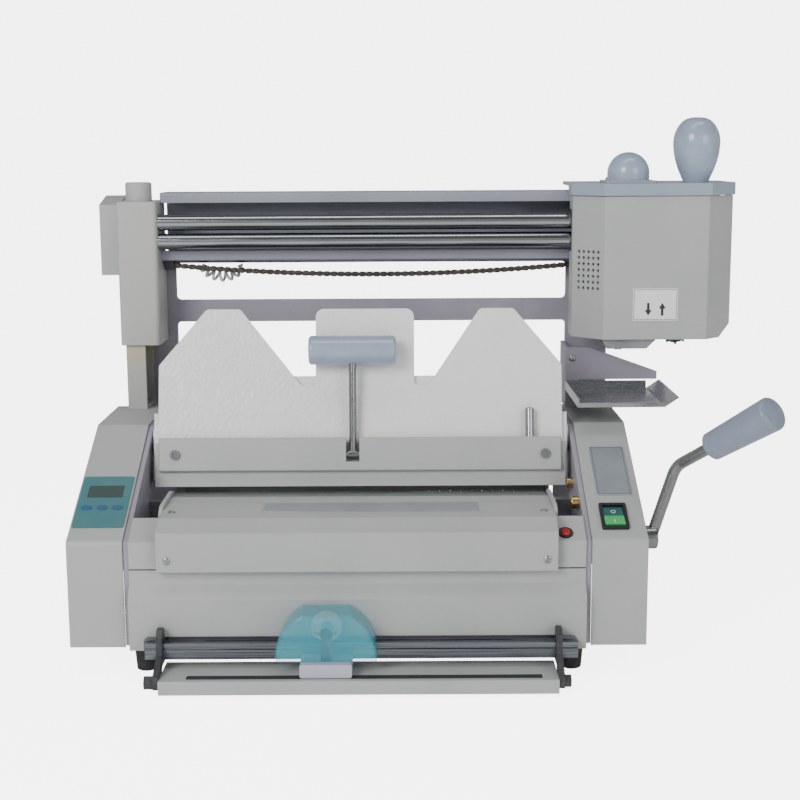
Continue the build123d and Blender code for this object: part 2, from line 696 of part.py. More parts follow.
for side in (-1, 1):
    hole_radius = PUSH_ROD_RADIUS + SHEET_GAP
    strip -= spindle(side * PUSH_ROD_X, console_back_y, web_back_y + 1, NIP_SHAFT_Z, hole_radius)
    rod = spindle(side * PUSH_ROD_X, rod_start_y, NIP_BAR_FRONT_Y, NIP_SHAFT_Z, PUSH_ROD_RADIUS)
    push_rods.append(rod)
save("nip_bar", nip_bar, *push_rods)
save("table_strip", strip, *end_plates)
hub_start = COVER_OUTER + EASY_GAP
nip_shaft = shaft(-COVER_INNER, hub_start, NIP_SHAFT_Y, NIP_SHAFT_Z, NIP_SHAFT_RADIUS)
for side in (-1, 1):
    start = side * PUSH_ROD_X - ECCENTRIC_WIDTH / 2
    end = start + ECCENTRIC_WIDTH
    nip_shaft += shaft(start, end, NIP_SHAFT_Y, NIP_SHAFT_Z - ECCENTRIC_THROW, ECCENTRIC_RADIUS)
save("nip_shaft", nip_shaft)

# Nip lever: hub on the shaft, bent rod and a tapered grip

hub_end = hub_start + LEVER_HUB_WIDTH
hub = shaft(hub_start, hub_end, NIP_SHAFT_Y, NIP_SHAFT_Z, LEVER_HUB_RADIUS)
hub = fillet(hub.edges().sort_by(Axis.X)[-1], 1.5)
rod_root = ((hub_start + hub_end) / 2, NIP_SHAFT_Y, NIP_SHAFT_Z)
grip_axis = Vector(*LEVER_GRIP_END) - Vector(*LEVER_GRIP_START)
lever_bend = Vector(*LEVER_GRIP_START) - grip_axis.normalized() * LEVER_STRAIGHT
rod_line = FilletPolyline(rod_root, lever_bend, LEVER_GRIP_START, radius=LEVER_BEND_RADIUS)
rod_section = Plane(origin=rod_root, z_dir=rod_line % 0) * Circle(LEVER_ROD_RADIUS)
lever_rod = sweep(rod_section, path=rod_line)
lever_rod += hub
save("nip_lever", lever_rod)
grip_plane = Plane(origin=LEVER_GRIP_START, z_dir=grip_axis.normalized())


def grip(length, start_radius, end_radius, crown):
    """A turned grip: slightly tapered, its far end a shallow dome."""
    edge = length - crown
    side_line = Line((start_radius, 1), (end_radius, edge))
    crown_points = [(end_radius, edge), (end_radius * 0.72, length - crown * 0.3), (0, length)]
    dome = Spline(*crown_points, tangents=((0, 1), (-1, 0)))
    end_face = Line((0, 0), (start_radius - 1, 0))
    lines = [end_face, Line((start_radius - 1, 0), (start_radius, 1)), side_line, dome]
    face = make_face([*lines, Line((0, length), (0, 0))])
    return revolve(Plane.XZ * face, Axis.Z)


grip_start_radius = LEVER_GRIP_RADIUS * LEVER_GRIP_TAPER
nip_grip = grip(grip_axis.length, grip_start_radius, LEVER_GRIP_RADIUS, LEVER_GRIP_CROWN)
save("nip_grip", grip_plane * nip_grip)

# Clamp. Its own plane: local X to the right, local Y up the front plate, local Z forward of it.

lean = math.radians(CLAMP_LEAN)
clamp_plane = Plane(
    origin=(0, CLAMP_FOOT_Y, CLAMP_FOOT_Z),
    x_dir=(1, 0, 0),
    z_dir=(0, -math.cos(lean), math.sin(lean)),
)
pivot_run = PIVOT_Y - CLAMP_FOOT_Y
pivot_rise = PIVOT_Z - CLAMP_FOOT_Z
pivot_back = pivot_run * math.cos(lean) - pivot_rise * math.sin(lean)
pivot_up = pivot_run * math.sin(lean) + pivot_rise * math.cos(lean)

rear_plate = block(-JAW_HALF, JAW_HALF, 0, REAR_PLATE_HEIGHT, -JAW_GAP - REAR_PLATE, -JAW_GAP)
trunnions = []
cheeks = []
trunnion_end = COVER_INNER - EASY_GAP
for side in (-1, 1):
    x0, x1 = sorted((side * (JAW_HALF + RUNNING_GAP), side * CHEEK_HALF))
    cheek_back = -pivot_back - CHEEK_BEHIND_PIVOT
    cheek = block(x0, x1, CHEEK_LOW, pivot_up + CHEEK_OVER_PIVOT, cheek_back, -JAW_GAP)
    cheek = fillet(cheek.edges().filter_by(Axis.X).group_by(Axis.Z)[0], CHEEK_ROUND)
    bore = Pos(0, pivot_up, -pivot_back) * shaft(x0 - 1, x1 + 1, 0, 0, TRUNNION_RADIUS)
    cheeks.append(clamp_plane * (cheek - bore))
    t0, t1 = sorted((side * (JAW_HALF + RUNNING_GAP), side * trunnion_end))
    trunnion = shaft(t0, t1, PIVOT_Y, PIVOT_Z, TRUNNION_RADIUS)
    c0, c1 = sorted((side * CHEEK_HALF, side * (plate_inner - EASY_GAP)))
    trunnion += shaft(c0, c1, PIVOT_Y, PIVOT_Z, TRUNNION_COLLAR)
    trunnions.append(trunnion)
guide_pins = []
for side in (-1, 1):
    pin_place = Pos(side * GUIDE_PIN_X, GUIDE_PIN_HEIGHT, 0)
    rear_plate -= pin_place * Cylinder(GUIDE_PIN_RADIUS + RUNNING_GAP, 4 * REAR_PLATE)
    pin_length = JAW_TRAVEL + JAW_GAP + REAR_PLATE + GUIDE_PIN_SPARE
    pin = pin_place * Pos(0, 0, -pin_length) * Cylinder(GUIDE_PIN_RADIUS, pin_length, align=BASE)
    guide_pins.append(clamp_plane * pin)
save("clamp_rear_plate", clamp_plane * rear_plate)
save("clamp_cheeks", *cheeks, *trunnions)

peak_outer = JAW_HALF - JAW_PEAK_INSET
peak_inner = peak_outer - JAW_PEAK_WIDTH
tab_left = JAW_TAB_X - JAW_TAB_HALF
tab_right = JAW_TAB_X + JAW_TAB_HALF
jaw_points = [
    (-JAW_HALF, 0),
    (JAW_HALF, 0),
    (JAW_HALF, JAW_SHOULDER),
    (peak_outer, JAW_HEIGHT),
    (peak_inner, JAW_HEIGHT),
    (tab_right + JAW_NOTCH_FLARE, JAW_VALLEY),
    (tab_right, JAW_VALLEY),
    (tab_right, JAW_HEIGHT),
    (tab_left, JAW_HEIGHT),
    (tab_left, JAW_VALLEY),
    (tab_left - JAW_NOTCH_FLARE, JAW_VALLEY),
    (-peak_inner, JAW_HEIGHT),
    (-peak_outer, JAW_HEIGHT),
    (-JAW_HALF, JAW_SHOULDER),
]
corner_radii = [1, 1, 4, 5, 5, 3, 3, 7, 7, 3, 3, 5, 5, 4]
jaw_face = make_face(FilletPolyline(*jaw_points, radius=corner_radii, close=True))
jaw_plate = extrude(jaw_face, amount=JAW_PLATE)
save("clamp_front_plate", clamp_plane * jaw_plate)
bar_out = JAW_PLATE + JAW_BAR
jaw_bar = block(-JAW_BAR_HALF, JAW_BAR_HALF, 0, JAW_BAR_HEIGHT, JAW_PLATE, bar_out)
strip_out = bar_out + STRIP
jaw_strip = block(-STRIP_HALF, STRIP_HALF, STRIP_LOW, STRIP_HIGH, bar_out, strip_out)
jaw_strip = chamfer(jaw_strip.faces().sort_by(Axis.Z)[-1].edges(), 0.8)
notch_top = STRIP_HIGH + 1
notch_low = T_LEVER_PIVOT_HEIGHT - LEVER_NOTCH_BELOW
notch_left = T_LEVER_X - LEVER_NOTCH_HALF
notch_right = T_LEVER_X + LEVER_NOTCH_HALF
jaw_strip -= block(notch_left, notch_right, notch_low, notch_top, bar_out, strip_out + 1)
jaw_bar -= block(notch_left, notch_right, notch_low, notch_top, JAW_PLATE + 1.5, bar_out + 1)
pin_left = notch_left - LEVER_PIN_END
pin_right = notch_right + LEVER_PIN_END
bore_radius = LEVER_PIN_RADIUS + RUNNING_GAP
pin_bore = shaft(pin_left - 1, pin_right + 1, T_LEVER_PIVOT_HEIGHT, T_LEVER_OUT, bore_radius)
jaw_strip -= pin_bore
jaw_bar -= pin_bore
socket_screws = []
for side in (-1, 1):
    head = Cylinder(SOCKET_SCREW_RADIUS, SOCKET_SCREW_HEAD, align=BASE)
    head -= Pos(0, 0, 1) * extrude(RegularPolygon(SOCKET_RADIUS, 6), amount=SOCKET_SCREW_HEAD)
    screw_place = Pos(side * SOCKET_SCREW_X, SOCKET_SCREW_HEIGHT, strip_out)
    socket_screws.append(clamp_plane * screw_place * head)
save("jaw_bar", clamp_plane * jaw_bar)
save("jaw_strip", clamp_plane * jaw_strip)
lever_pin = shaft(pin_left, pin_right, T_LEVER_PIVOT_HEIGHT, T_LEVER_OUT, LEVER_PIN_RADIUS)
eye_left = T_LEVER_X - T_LEVER_EYE_HALF
eye_right = T_LEVER_X + T_LEVER_EYE_HALF
t_rod = shaft(eye_left, eye_right, T_LEVER_PIVOT_HEIGHT, T_LEVER_OUT, T_LEVER_EYE_RADIUS)
tilt = math.radians(T_LEVER_REST_TILT)
t_stem = Plane(
    origin=(T_LEVER_X, T_LEVER_PIVOT_HEIGHT, T_LEVER_OUT),
    x_dir=(1, 0, 0),
    z_dir=(0, math.cos(tilt), math.sin(tilt)),
)
stem = t_stem * Cylinder(T_LEVER_ROD_RADIUS, T_LEVER_LENGTH - T_GRIP_RADIUS + 1.5, align=BASE)
t_rod += stem
t_rod -= shaft(pin_left, pin_right, T_LEVER_PIVOT_HEIGHT, T_LEVER_OUT, LEVER_PIN_RADIUS + RUNNING_GAP)
save("t_lever", clamp_plane * t_rod)
t_grip = Plane(origin=(-T_GRIP_LENGTH / 2, 0, T_LEVER_LENGTH), z_dir=(1, 0, 0)) * Cylinder(
    T_GRIP_RADIUS, T_GRIP_LENGTH, align=BASE
)
t_grip = fillet(t_grip.edges().filter_by(GeomType.CIRCLE), T_GRIP_ROUND)
save("t_grip", clamp_plane * (t_stem * t_grip - stem))
peg_foot = Plane(origin=(PEG_X, STRIP_HIGH, bar_out + EASY_GAP), z_dir=(0, 1, 0))
peg = peg_foot * Cylinder(PEG_RADIUS, PEG_LENGTH, align=BASE)
peg = chamfer(peg.edges().sort_by(Axis.Y)[-1], 0.8)
save("jaw_studs", *socket_screws, *guide_pins, clamp_plane * lever_pin, clamp_plane * peg)

# Creasing unit: rail on two cranked arms over a platform, with the slider, its wheel and guard

rail = block(RAIL_LEFT, RAIL_RIGHT, RAIL_FRONT_Y, RAIL_BACK_Y, RAIL_LOW_Z, RAIL_TOP_Z)
groove_z = (RAIL_LOW_Z + RAIL_TOP_Z) / 2 + 1
groove_back_y = RAIL_FRONT_Y + RAIL_GROOVE_DEPTH
groove_top_z = groove_z + RAIL_GROOVE
rail -= block(RAIL_LEFT - 1, RAIL_RIGHT + 1, RAIL_FRONT_Y - 1, groove_back_y, groove_z, groove_top_z)
rail = chamfer(rail.edges().filter_by(Axis.X).sort_by(Axis.Z)[-1], 0.6)
save("crease_rail", rail)
platform_left = PLATFORM_MID - PLATFORM_HALF
platform_right = PLATFORM_MID + PLATFORM_HALF
sheet = PLATFORM_SHEET
front_y = PLATFORM_FRONT_Y
back_y = PLATFORM_BACK_Y
platform_under_z = PLATFORM_TOP_Z - sheet
platform = block(platform_left, platform_right, front_y, back_y, platform_under_z, PLATFORM_TOP_Z)
platform += block(platform_left, platform_right, front_y, front_y + sheet, PLATFORM_LOW_Z, PLATFORM_TOP_Z)
platform += block(platform_left, platform_right, back_y - sheet, back_y, PLATFORM_LOW_Z, PLATFORM_TOP_Z)
slot_y = front_y + PLATFORM_SLOT_BACK
slot_left = platform_left + PLATFORM_SLOT_LEFT
slot_right = platform_right - PLATFORM_SLOT_RIGHT
slot_floor_z = PLATFORM_TOP_Z - PLATFORM_SLOT_DEPTH
platform -= block(slot_left, slot_right, slot_y, slot_y + 3, slot_floor_z, PLATFORM_TOP_Z + 1)
platform = fillet(platform.edges().filter_by(Axis.X).group_by(Axis.Z)[-1].sort_by(Axis.Y)[0], 1.5)
save("crease_platform", platform)
arm_tongue_y = FRONT_Y + LOWER_PANEL_STEP - SHEET_GAP
arm_points = [
    (PLATFORM_FRONT_Y + 3, ARM_LOW_Z),
    (PLATFORM_FRONT_Y + 16, ARM_LOW_Z),
    (RAIL_FRONT_Y - 4, ARM_TONGUE_LOW_Z),
    (arm_tongue_y, ARM_TONGUE_LOW_Z),
    (arm_tongue_y, LOWER_NOTCH_Z - 2),
    (RAIL_BACK_Y + 1, LOWER_NOTCH_Z - 1),
    (RAIL_BACK_Y + 1, ARM_TOP_Z - 2),
    (RAIL_BACK_Y - 2, ARM_TOP_Z),
    (RAIL_FRONT_Y, ARM_TOP_Z),
    (RAIL_FRONT_Y - 4, ARM_TOP_Z - 5),
    (RAIL_FRONT_Y - 6, ARM_TONGUE_LOW_Z + 9),
    (PLATFORM_FRONT_Y + 3, ARM_LOW_Z + 9),
]
arm_face = outline(*arm_points)
rail_hole = block(
    RAIL_LEFT, RAIL_RIGHT, RAIL_FRONT_Y - RUNNING_GAP, RAIL_BACK_Y + RUNNING_GAP,
    RAIL_LOW_Z - RUNNING_GAP, RAIL_TOP_Z + RUNNING_GAP,
)
thumb_y = PLATFORM_FRONT_Y + THUMB_BACK
thumb_z = (PLATFORM_TOP_Z + PLATFORM_LOW_Z) / 2 + 1.5
crease_arms = []
for side in (-1, 1):
    arm_start = platform_left - ARM if side < 0 else platform_right
    arm = extrude(Plane.YZ.offset(arm_start) * arm_face, amount=ARM)
    arm -= rail_hole
    arm -= shaft(arm_start - 1, arm_start + ARM + 1, thumb_y, thumb_z, THUMB_PIN_RADIUS + RUNNING_GAP)
    crease_arms.append(arm)


def thumb_screw():
    """A fluted knob beside the left arm, and its pin through the arm."""
    face_x = platform_left - ARM
    start = face_x - THUMB_KNOB_LENGTH
    end = face_x - SHEET_GAP
    knob = shaft(start, end, thumb_y, thumb_z, THUMB_KNOB_RADIUS)
    for turn in range(THUMB_GROOVES):
        angle = 2 * math.pi * turn / THUMB_GROOVES
        flute_y = thumb_y + (THUMB_KNOB_RADIUS + SHEET_GAP) * math.cos(angle)
        flute_z = thumb_z + (THUMB_KNOB_RADIUS + SHEET_GAP) * math.sin(angle)
        knob -= shaft(start - 1, end + 1, flute_y, flute_z, THUMB_GROOVE_RADIUS)
    return knob + shaft(end, platform_left, thumb_y, thumb_z, THUMB_PIN_RADIUS)


save("thumb_screw", thumb_screw())
right_nut_start = platform_right + ARM
nut_face = Plane(origin=(right_nut_start, thumb_y, thumb_z), z_dir=(1, 0, 0))
right_nut = nut_face * extrude(RegularPolygon(ARM_NUT, 6), amount=ARM_NUT)
right_nut += shaft(platform_right, right_nut_start, thumb_y, thumb_z, THUMB_PIN_RADIUS)
save("crease_arms", *crease_arms, right_nut)

block_low_z = PLATFORM_TOP_Z + EASY_GAP
slider = block(
    SLIDER_X - SLIDER_BLOCK_HALF,
    SLIDER_X + SLIDER_BLOCK_HALF,
    GUARD_FRONT_Y - SLIDER_BLOCK_FRONT,
    RAIL_FRONT_Y - EASY_GAP,
    block_low_z,
    GUARD_LOW_Z - SHEET_GAP,
)
slider = fillet(slider.edges().filter_by(Axis.Y), 2)
save("slider_block", slider)
wheel_z = RAIL_TOP_Z + SHEET_GAP + WHEEL_RADIUS
wheel_y = (RAIL_FRONT_Y + RAIL_BACK_Y) / 2
wheel_side = WHEEL_RADIUS - WHEEL_TAPER
wheel_profile = outline(
    (0, -WHEEL_HALF),
    (wheel_side, -WHEEL_HALF),
    (WHEEL_RADIUS, -WHEEL_TREAD_HALF),
    (WHEEL_RADIUS, WHEEL_TREAD_HALF),
    (wheel_side, WHEEL_HALF),
    (0, WHEEL_HALF),
)
wheel = revolve(Plane.XZ * wheel_profile, Axis.Z)
wheel -= Cylinder(WHEEL_AXLE_RADIUS + RUNNING_GAP, 20)
wheel_plane = Plane(origin=(SLIDER_X, wheel_y, wheel_z), z_dir=(0, 1, 0))
save("creasing_wheel", wheel_plane * wheel)
axle_start = GUARD_FRONT_Y + GUARD_WALL
axle = spindle(SLIDER_X, axle_start, wheel_y + WHEEL_HALF + 0.7, wheel_z, WHEEL_AXLE_RADIUS)
axle += spindle(SLIDER_X, axle_start, wheel_y - WHEEL_HALF - EASY_GAP, wheel_z, WHEEL_AXLE_COLLAR)
bracket_half = WHEEL_AXLE_COLLAR - 1
bracket_top_z = wheel_z - WHEEL_AXLE_COLLAR
axle_bracket = block(
    SLIDER_X - bracket_half, SLIDER_X + bracket_half, axle_start, axle_start + 3, GUARD_LOW_Z, bracket_top_z
)
save("wheel_axle", axle + axle_bracket)
guard_height = GUARD_TOP_Z - GUARD_LOW_Z
guard_left = (-GUARD_HALF, 0)
guard_right = (GUARD_HALF, 0)
shoulder = GUARD_HALF - GUARD_SHOULDER
bulge_x = GUARD_HALF - GUARD_BULGE_IN
bulge_z = guard_height * GUARD_BULGE_UP
guard_lines = [
    Line(guard_left, guard_right),
    ThreePointArc(guard_right, (bulge_x, bulge_z), (shoulder, guard_height)),
    Line((shoulder, guard_height), (-shoulder, guard_height)),
    ThreePointArc((-shoulder, guard_height), (-bulge_x, bulge_z), guard_left),
]
guard_face = make_face(guard_lines)
guard = frontal(guard_face, GUARD_FRONT_Y, GUARD_BACK_Y)
guard_inner_face = offset(guard_face, amount=-GUARD_WALL)
guard_inner = frontal(guard_inner_face, GUARD_FRONT_Y + GUARD_WALL, GUARD_BACK_Y + 5)
guard = fillet(guard.edges().group_by(Axis.Y)[0].sort_by(Axis.Z)[1:], 3)
guard -= guard_inner
guard -= Pos(0, 0, -2 * GUARD_WALL) * guard_inner
rail_clear_z = RAIL_TOP_Z + EASY_GAP - GUARD_LOW_Z
guard_reach = GUARD_HALF + 1
guard -= block(-guard_reach, guard_reach, RAIL_FRONT_Y - EASY_GAP, GUARD_BACK_Y + 1, -1, rail_clear_z)
save("slider_guard", Pos(SLIDER_X, 0, GUARD_LOW_Z) * guard)

# Rear frame with its two openings

frame_back_y = REAR_FRAME_Y + REAR_FRAME
rear_frame = block(
    REAR_FRAME_LEFT, REAR_FRAME_RIGHT, REAR_FRAME_Y, frame_back_y, pan_low_z, CHANNEL_LOW_Z
)


def frame_opening(low_z, top_z):
    """The cutter for one window of the frame, between two heights."""
    middle_x = (REAR_OPENING_LEFT + REAR_OPENING_RIGHT) / 2
    width = REAR_OPENING_RIGHT - REAR_OPENING_LEFT
    window = RectangleRounded(width, top_z - low_z, REAR_OPENING_RADIUS)
    return frontal(Pos(middle_x, (low_z + top_z) / 2) * window, REAR_FRAME_Y - 1, frame_back_y + 1)


rear_frame -= frame_opening(REAR_OPENING_LOW_Z, CROSSBAR_LOW_Z)
rear_frame -= frame_opening(CROSSBAR_TOP_Z, CHANNEL_LOW_Z - 4)
save("rear_frame", rear_frame)

# Left post: a folded box with rounded corners, its cap, the column under it and the end cover

post_middle = (POST_LEFT + POST_RIGHT) / 2
post_depth = REAR_FRAME_Y - POST_FRONT_Y
post_middle_y = (POST_FRONT_Y + REAR_FRAME_Y) / 2
post_place = Pos(post_middle, post_middle_y, POST_LOW_Z)
post_height = POST_TOP_Z - POST_LOW_Z
post = post_place * extrude(RectangleRounded(POST_WIDTH, post_depth, POST_CORNER), amount=post_height)
hollow = RectangleRounded(POST_WIDTH - 2 * POST_WALL, post_depth - 2 * POST_WALL, POST_CORNER / 2)
post -= post_place * extrude(hollow, amount=post_height - POST_WALL)
for rod_z in (ROD_HIGH_Z, ROD_LOW_Z):
    post -= shaft(post_middle, POST_RIGHT + 1, ROD_Y, rod_z, ROD_RADIUS + RUNNING_GAP)
cap_place = Pos(post_middle, post_middle_y - POST_CAP_FORWARD, POST_TOP_Z)
post_cap = Cylinder(POST_CAP_RADIUS, POST_CAP_TOP_Z - POST_TOP_Z, align=BASE)
post_cap = fillet(post_cap.edges().sort_by(Axis.Z)[-1], 2)
column_back_y = REAR_FRAME_Y - POST_WALL - SHEET_GAP
column_top_z = POST_TOP_Z - POST_WALL - 1
column_front_y = POST_FRONT_Y + COLUMN_INSET
column = block(COLUMN_LEFT, COLUMN_RIGHT, column_front_y, column_back_y, COVER_TOP_Z, column_top_z)
column -= block(
    COLUMN_LEFT + POST_WALL,
    COLUMN_RIGHT + 1,
    column_front_y + POST_WALL,
    column_back_y - POST_WALL,
    COVER_TOP_Z + POST_WALL,
    POST_TOP_Z,
)
rod_end_x = COLUMN_RIGHT + 1
save("left_post", post, column)
end_cover_low_z = CHANNEL_LOW_Z - END_COVER_DROP
end_cover_front_y = CHANNEL_FRONT_Y - END_COVER_RISE
end_cover_top_z = POST_TOP_Z + END_COVER_RISE
end_cover_face = [
    (end_cover_front_y, end_cover_low_z),
    (end_cover_front_y, POST_TOP_Z - 3),
    (REAR_FRAME_Y, end_cover_top_z),
    (CHANNEL_BACK_Y, end_cover_top_z),
    (CHANNEL_BACK_Y, end_cover_low_z),
]
end_cover = across(end_cover_face, END_COVER_LEFT, POST_LEFT - RUNNING_GAP)
end_cover -= block(
    END_COVER_LEFT + COVER_WALL,
    POST_LEFT + 1,
    end_cover_front_y + COVER_WALL,
    CHANNEL_BACK_Y - COVER_WALL,
    end_cover_low_z - 1,
    POST_TOP_Z - 8,
)
save("post_caps", end_cover, cap_place * post_cap)

# Rods and channel

rods = [shaft(rod_end_x, CHANNEL_RIGHT, ROD_Y, rod_z, ROD_RADIUS) for rod_z in (ROD_HIGH_Z, ROD_LOW_Z)]
save("guide_rods", *rods)
channel_points = [
    (CHANNEL_FRONT_Y, CHANNEL_LOW_Z),
    (CHANNEL_BACK_Y, CHANNEL_LOW_Z),
    (CHANNEL_BACK_Y, CHANNEL_TOP_Z),
    (CHANNEL_FRONT_Y, CHANNEL_TOP_Z),
]
channel = across(channel_points, POST_RIGHT, CHANNEL_RIGHT)
channel = fillet(channel.edges().filter_by(Axis.X), 2)
channel_back_in_y = CHANNEL_BACK_Y - CHANNEL_SHEET
channel_hollow = [
    (CHANNEL_FRONT_Y + CHANNEL_SHEET, CHANNEL_LOW_Z + CHANNEL_SHEET),
    (channel_back_in_y, CHANNEL_LOW_Z + CHANNEL_SHEET),
    (channel_back_in_y, CHANNEL_TOP_Z - CHANNEL_SHEET),
    (CHANNEL_FRONT_Y + CHANNEL_SHEET, CHANNEL_TOP_Z - CHANNEL_SHEET),
]
channel_mouth = [
    (CHANNEL_FRONT_Y - 1, CHANNEL_LOW_Z + CHANNEL_LIP),
    (CHANNEL_FRONT_Y + CHANNEL_SHEET + 1, CHANNEL_LOW_Z + CHANNEL_LIP),
    (CHANNEL_FRONT_Y + CHANNEL_SHEET + 1, CHANNEL_TOP_Z - CHANNEL_LIP),
    (CHANNEL_FRONT_Y - 1, CHANNEL_TOP_Z - CHANNEL_LIP),
]
channel -= across(channel_hollow, POST_RIGHT - 1, CHANNEL_RIGHT + 1)
channel -= across(channel_mouth, POST_RIGHT - 1, CHANNEL_RIGHT + 1)
plate_front_y = ROD_Y - ROD_RADIUS - 4
plate_low_z = CHANNEL_LOW_Z + CHANNEL_LIP + 1
plate_top_z = CHANNEL_TOP_Z - CHANNEL_LIP - 1
end_plate_x = CHANNEL_RIGHT - ROD_END_PLATE
end_plate = block(end_plate_x, CHANNEL_RIGHT, plate_front_y, channel_back_in_y, plate_low_z, plate_top_z)
for rod_z in (ROD_HIGH_Z, ROD_LOW_Z):
    end_plate -= shaft(end_plate_x - 1, CHANNEL_RIGHT + 1, ROD_Y, rod_z, ROD_RADIUS + RUNNING_GAP)
save("rear_channel", channel, end_plate)

# Roller chain hanging from two brackets under the channel: rollers, inner plates and outer plates

chain_span = CHAIN_RIGHT - CHAIN_LEFT
link_count = int(chain_span / CHAIN_PITCH)
chain_step = chain_span / link_count


def chain_point(index):
    """A pin of the hanging chain: even steps along, and a parabola down."""
    share = index / link_count
    return (CHAIN_LEFT + chain_step * index, CHAIN_END_Z - 4 * CHAIN_SAG * share * (1 - share))


def chain_link(index):
    """One pitch: two waisted plates and the roller at its left pin."""
    x0, z0 = chain_point(index)
    x1, z1 = chain_point(index + 1)
    length = math.hypot(x1 - x0, z1 - z0)
    reach = CHAIN_PLATE_HEIGHT / 2
    high = reach * 0.8
    waist = reach * 0.55
    near = reach * 0.5
    upper = [(-near, high), (near, high), (length / 2, waist), (length - near, high), (length + near, high)]
    lower = [(x, -z) for x, z in reversed(upper)]
    shape = outline((-reach, 0), *upper, (length + reach, 0), *lower)
    inner_face = CHAIN_ROLLER_WIDTH / 2 + (index % 2) * (CHAIN_PLATE + RUNNING_GAP)
    tilt_degrees = math.degrees(math.atan2(z1 - z0, x1 - x0))
    outer_face = inner_face + CHAIN_PLATE
    plates = [frontal(shape, side * inner_face, side * outer_face) for side in (-1, 1)]
    roller_half = CHAIN_ROLLER_WIDTH / 2
    roller = frontal(RegularPolygon(CHAIN_ROLLER_RADIUS, 8), -roller_half, roller_half)
    place = Pos(x0, CHAIN_Y, z0) * Rot(0, -tilt_degrees, 0)
    return [place * solid for solid in (*plates, roller)]


chain = []
for link in range(link_count):
    chain += chain_link(link)
save("roller_chain", *chain)
hanger_y = CHAIN_ROLLER_WIDTH / 2 + 3.0
hanger_low_z = CHAIN_END_Z - HANGER_PIN_OVER
chain_brackets = []
for hanger_x in (CHAIN_LEFT - 0.4, CHAIN_RIGHT + 5.5):
    for side in (-1, 1):
        start = CHAIN_Y + side * hanger_y - HANGER_SHEET / 2
        end = start + HANGER_SHEET
        left = hanger_x - HANGER_HALF
        right = hanger_x + HANGER_HALF
        chain_brackets.append(block(left, right, start, end, hanger_low_z, CHANNEL_LOW_Z))

# Curly cord: a helix round a hanging loop between two glands under the channel

cord_middle = (CORD_LEFT + CORD_RIGHT) / 2
cord_half = (CORD_RIGHT - CORD_LEFT) / 2


def cord_centre(share):
    """The loop's middle line: half an ellipse hanging from its two ends."""
    angle = math.pi * (1 + share)
    return (
        Vector(cord_middle + cord_half * math.cos(angle), CORD_Y, CORD_TOP_Z + CORD_DIP * math.sin(angle)),
        Vector(-cord_half * math.sin(angle), 0, CORD_DIP * math.cos(angle)).normalized(),
    )


def cord_point(turn):
    """A point of the helix round the middle line. Its reach grows and fades over the end curls."""
    centre, ahead = cord_centre(turn / CORD_CURLS)
    side_way = Vector(0, 1, 0)
    up_way = ahead.cross(side_way)
    angle = 2 * math.pi * turn
    reach = CORD_COIL_RADIUS * min(1, turn, CORD_CURLS - turn)
    return centre + side_way * (reach * math.cos(angle)) + up_way * (reach * math.sin(angle))


steps_per_curl = 12
near_steps = 10
fine = [cord_point(turn / steps_per_curl) for turn in range(CORD_CURLS * steps_per_curl + 1)]
gaps = []
for first, point in enumerate(fine):
    gaps += [(point - later).length - 2 * CORD_WIRE_RADIUS for later in fine[first + near_steps:]]
print("curly cord least gap", round(min(gaps), 2))
cord_path = Spline(*fine)
cord_section = Plane(origin=cord_path @ 0, z_dir=cord_path % 0) * RegularPolygon(CORD_WIRE_RADIUS, 6)
curly_cord = sweep(cord_section, path=cord_path)
save("curly_cord", curly_cord)
gland_low_z = CORD_TOP_Z + GLAND_INSIDE
glands = [pillar(x, CORD_Y, gland_low_z, CHANNEL_LOW_Z, GLAND_RADIUS) for x in (CORD_LEFT, CORD_RIGHT)]
save("hanging_brackets", *chain_brackets, *glands)

# Back box with the power inlet

back_y = BACK_BOX_BACK_Y
box_sheet = BACK_BOX_SHEET
back_box = block(-BACK_BOX_HALF, BACK_BOX_HALF, frame_back_y, back_y, pan_low_z, BACK_BOX_TOP_Z)
back_box = fillet(back_box.edges().filter_by(Axis.X).sort_by(Axis.Y)[-2:], 3)
back_box -= block(
    -BACK_BOX_HALF + box_sheet,
    BACK_BOX_HALF - box_sheet,
    frame_back_y - 1,
    back_y - box_sheet,
    pan_low_z + box_sheet,
    BACK_BOX_TOP_Z - box_sheet,
)


def inlet_block(inset, y0, y1):
    """A block round the inlet's middle, drawn in by an inset."""
    half_width = INLET_HALF_WIDTH - inset
    half_height = INLET_HALF_HEIGHT - inset
    left = INLET_X - half_width
    right = INLET_X + half_width
    return block(left, right, y0, y1, INLET_Z - half_height, INLET_Z + half_height)


back_box -= inlet_block(0, back_y - 10, back_y + 1)
for slot in range(BACK_BOX_SLOTS):
    slot_x = BACK_BOX_SLOT_X + BACK_BOX_SLOT_PITCH * slot
    slot_face = Pos(slot_x, BACK_BOX_SLOT_Z) * SlotOverall(34, 3.5, rotation=90)
    back_box -= frontal(slot_face, back_y - 2 * box_sheet, back_y + 1)
save("back_box", back_box)
inlet = inlet_block(RUNNING_GAP, back_y - INLET_DEPTH - 4, back_y)
inlet -= inlet_block(INLET_RIM, back_y - INLET_DEPTH, back_y + 1)
for pin_x, pin_z in ((-6.5, -2), (0, 2.5), (6.5, -2)):
    x = INLET_X + pin_x
    z = INLET_Z + pin_z
    inlet += block(x - 1, x + 1, back_y - INLET_DEPTH - 1, back_y - 3, z - 2.2, z + 2.2)
save("power_inlet", inlet)
control_low_z = pan_low_z + PAN_SHEET
control_front_y = FRONT_Y + 22
control_back_y = control_front_y + CONTROL_BOX_DEPTH
control_top_z = pan_low_z + CONTROL_BOX_TOP
control_box = block(
    -CONTROL_BOX_HALF, CONTROL_BOX_HALF, control_front_y, control_back_y, control_low_z, control_top_z
)
save("control_box", control_box)

# Head: shell, lid, knobs, carriage block, tank, roller and cutter


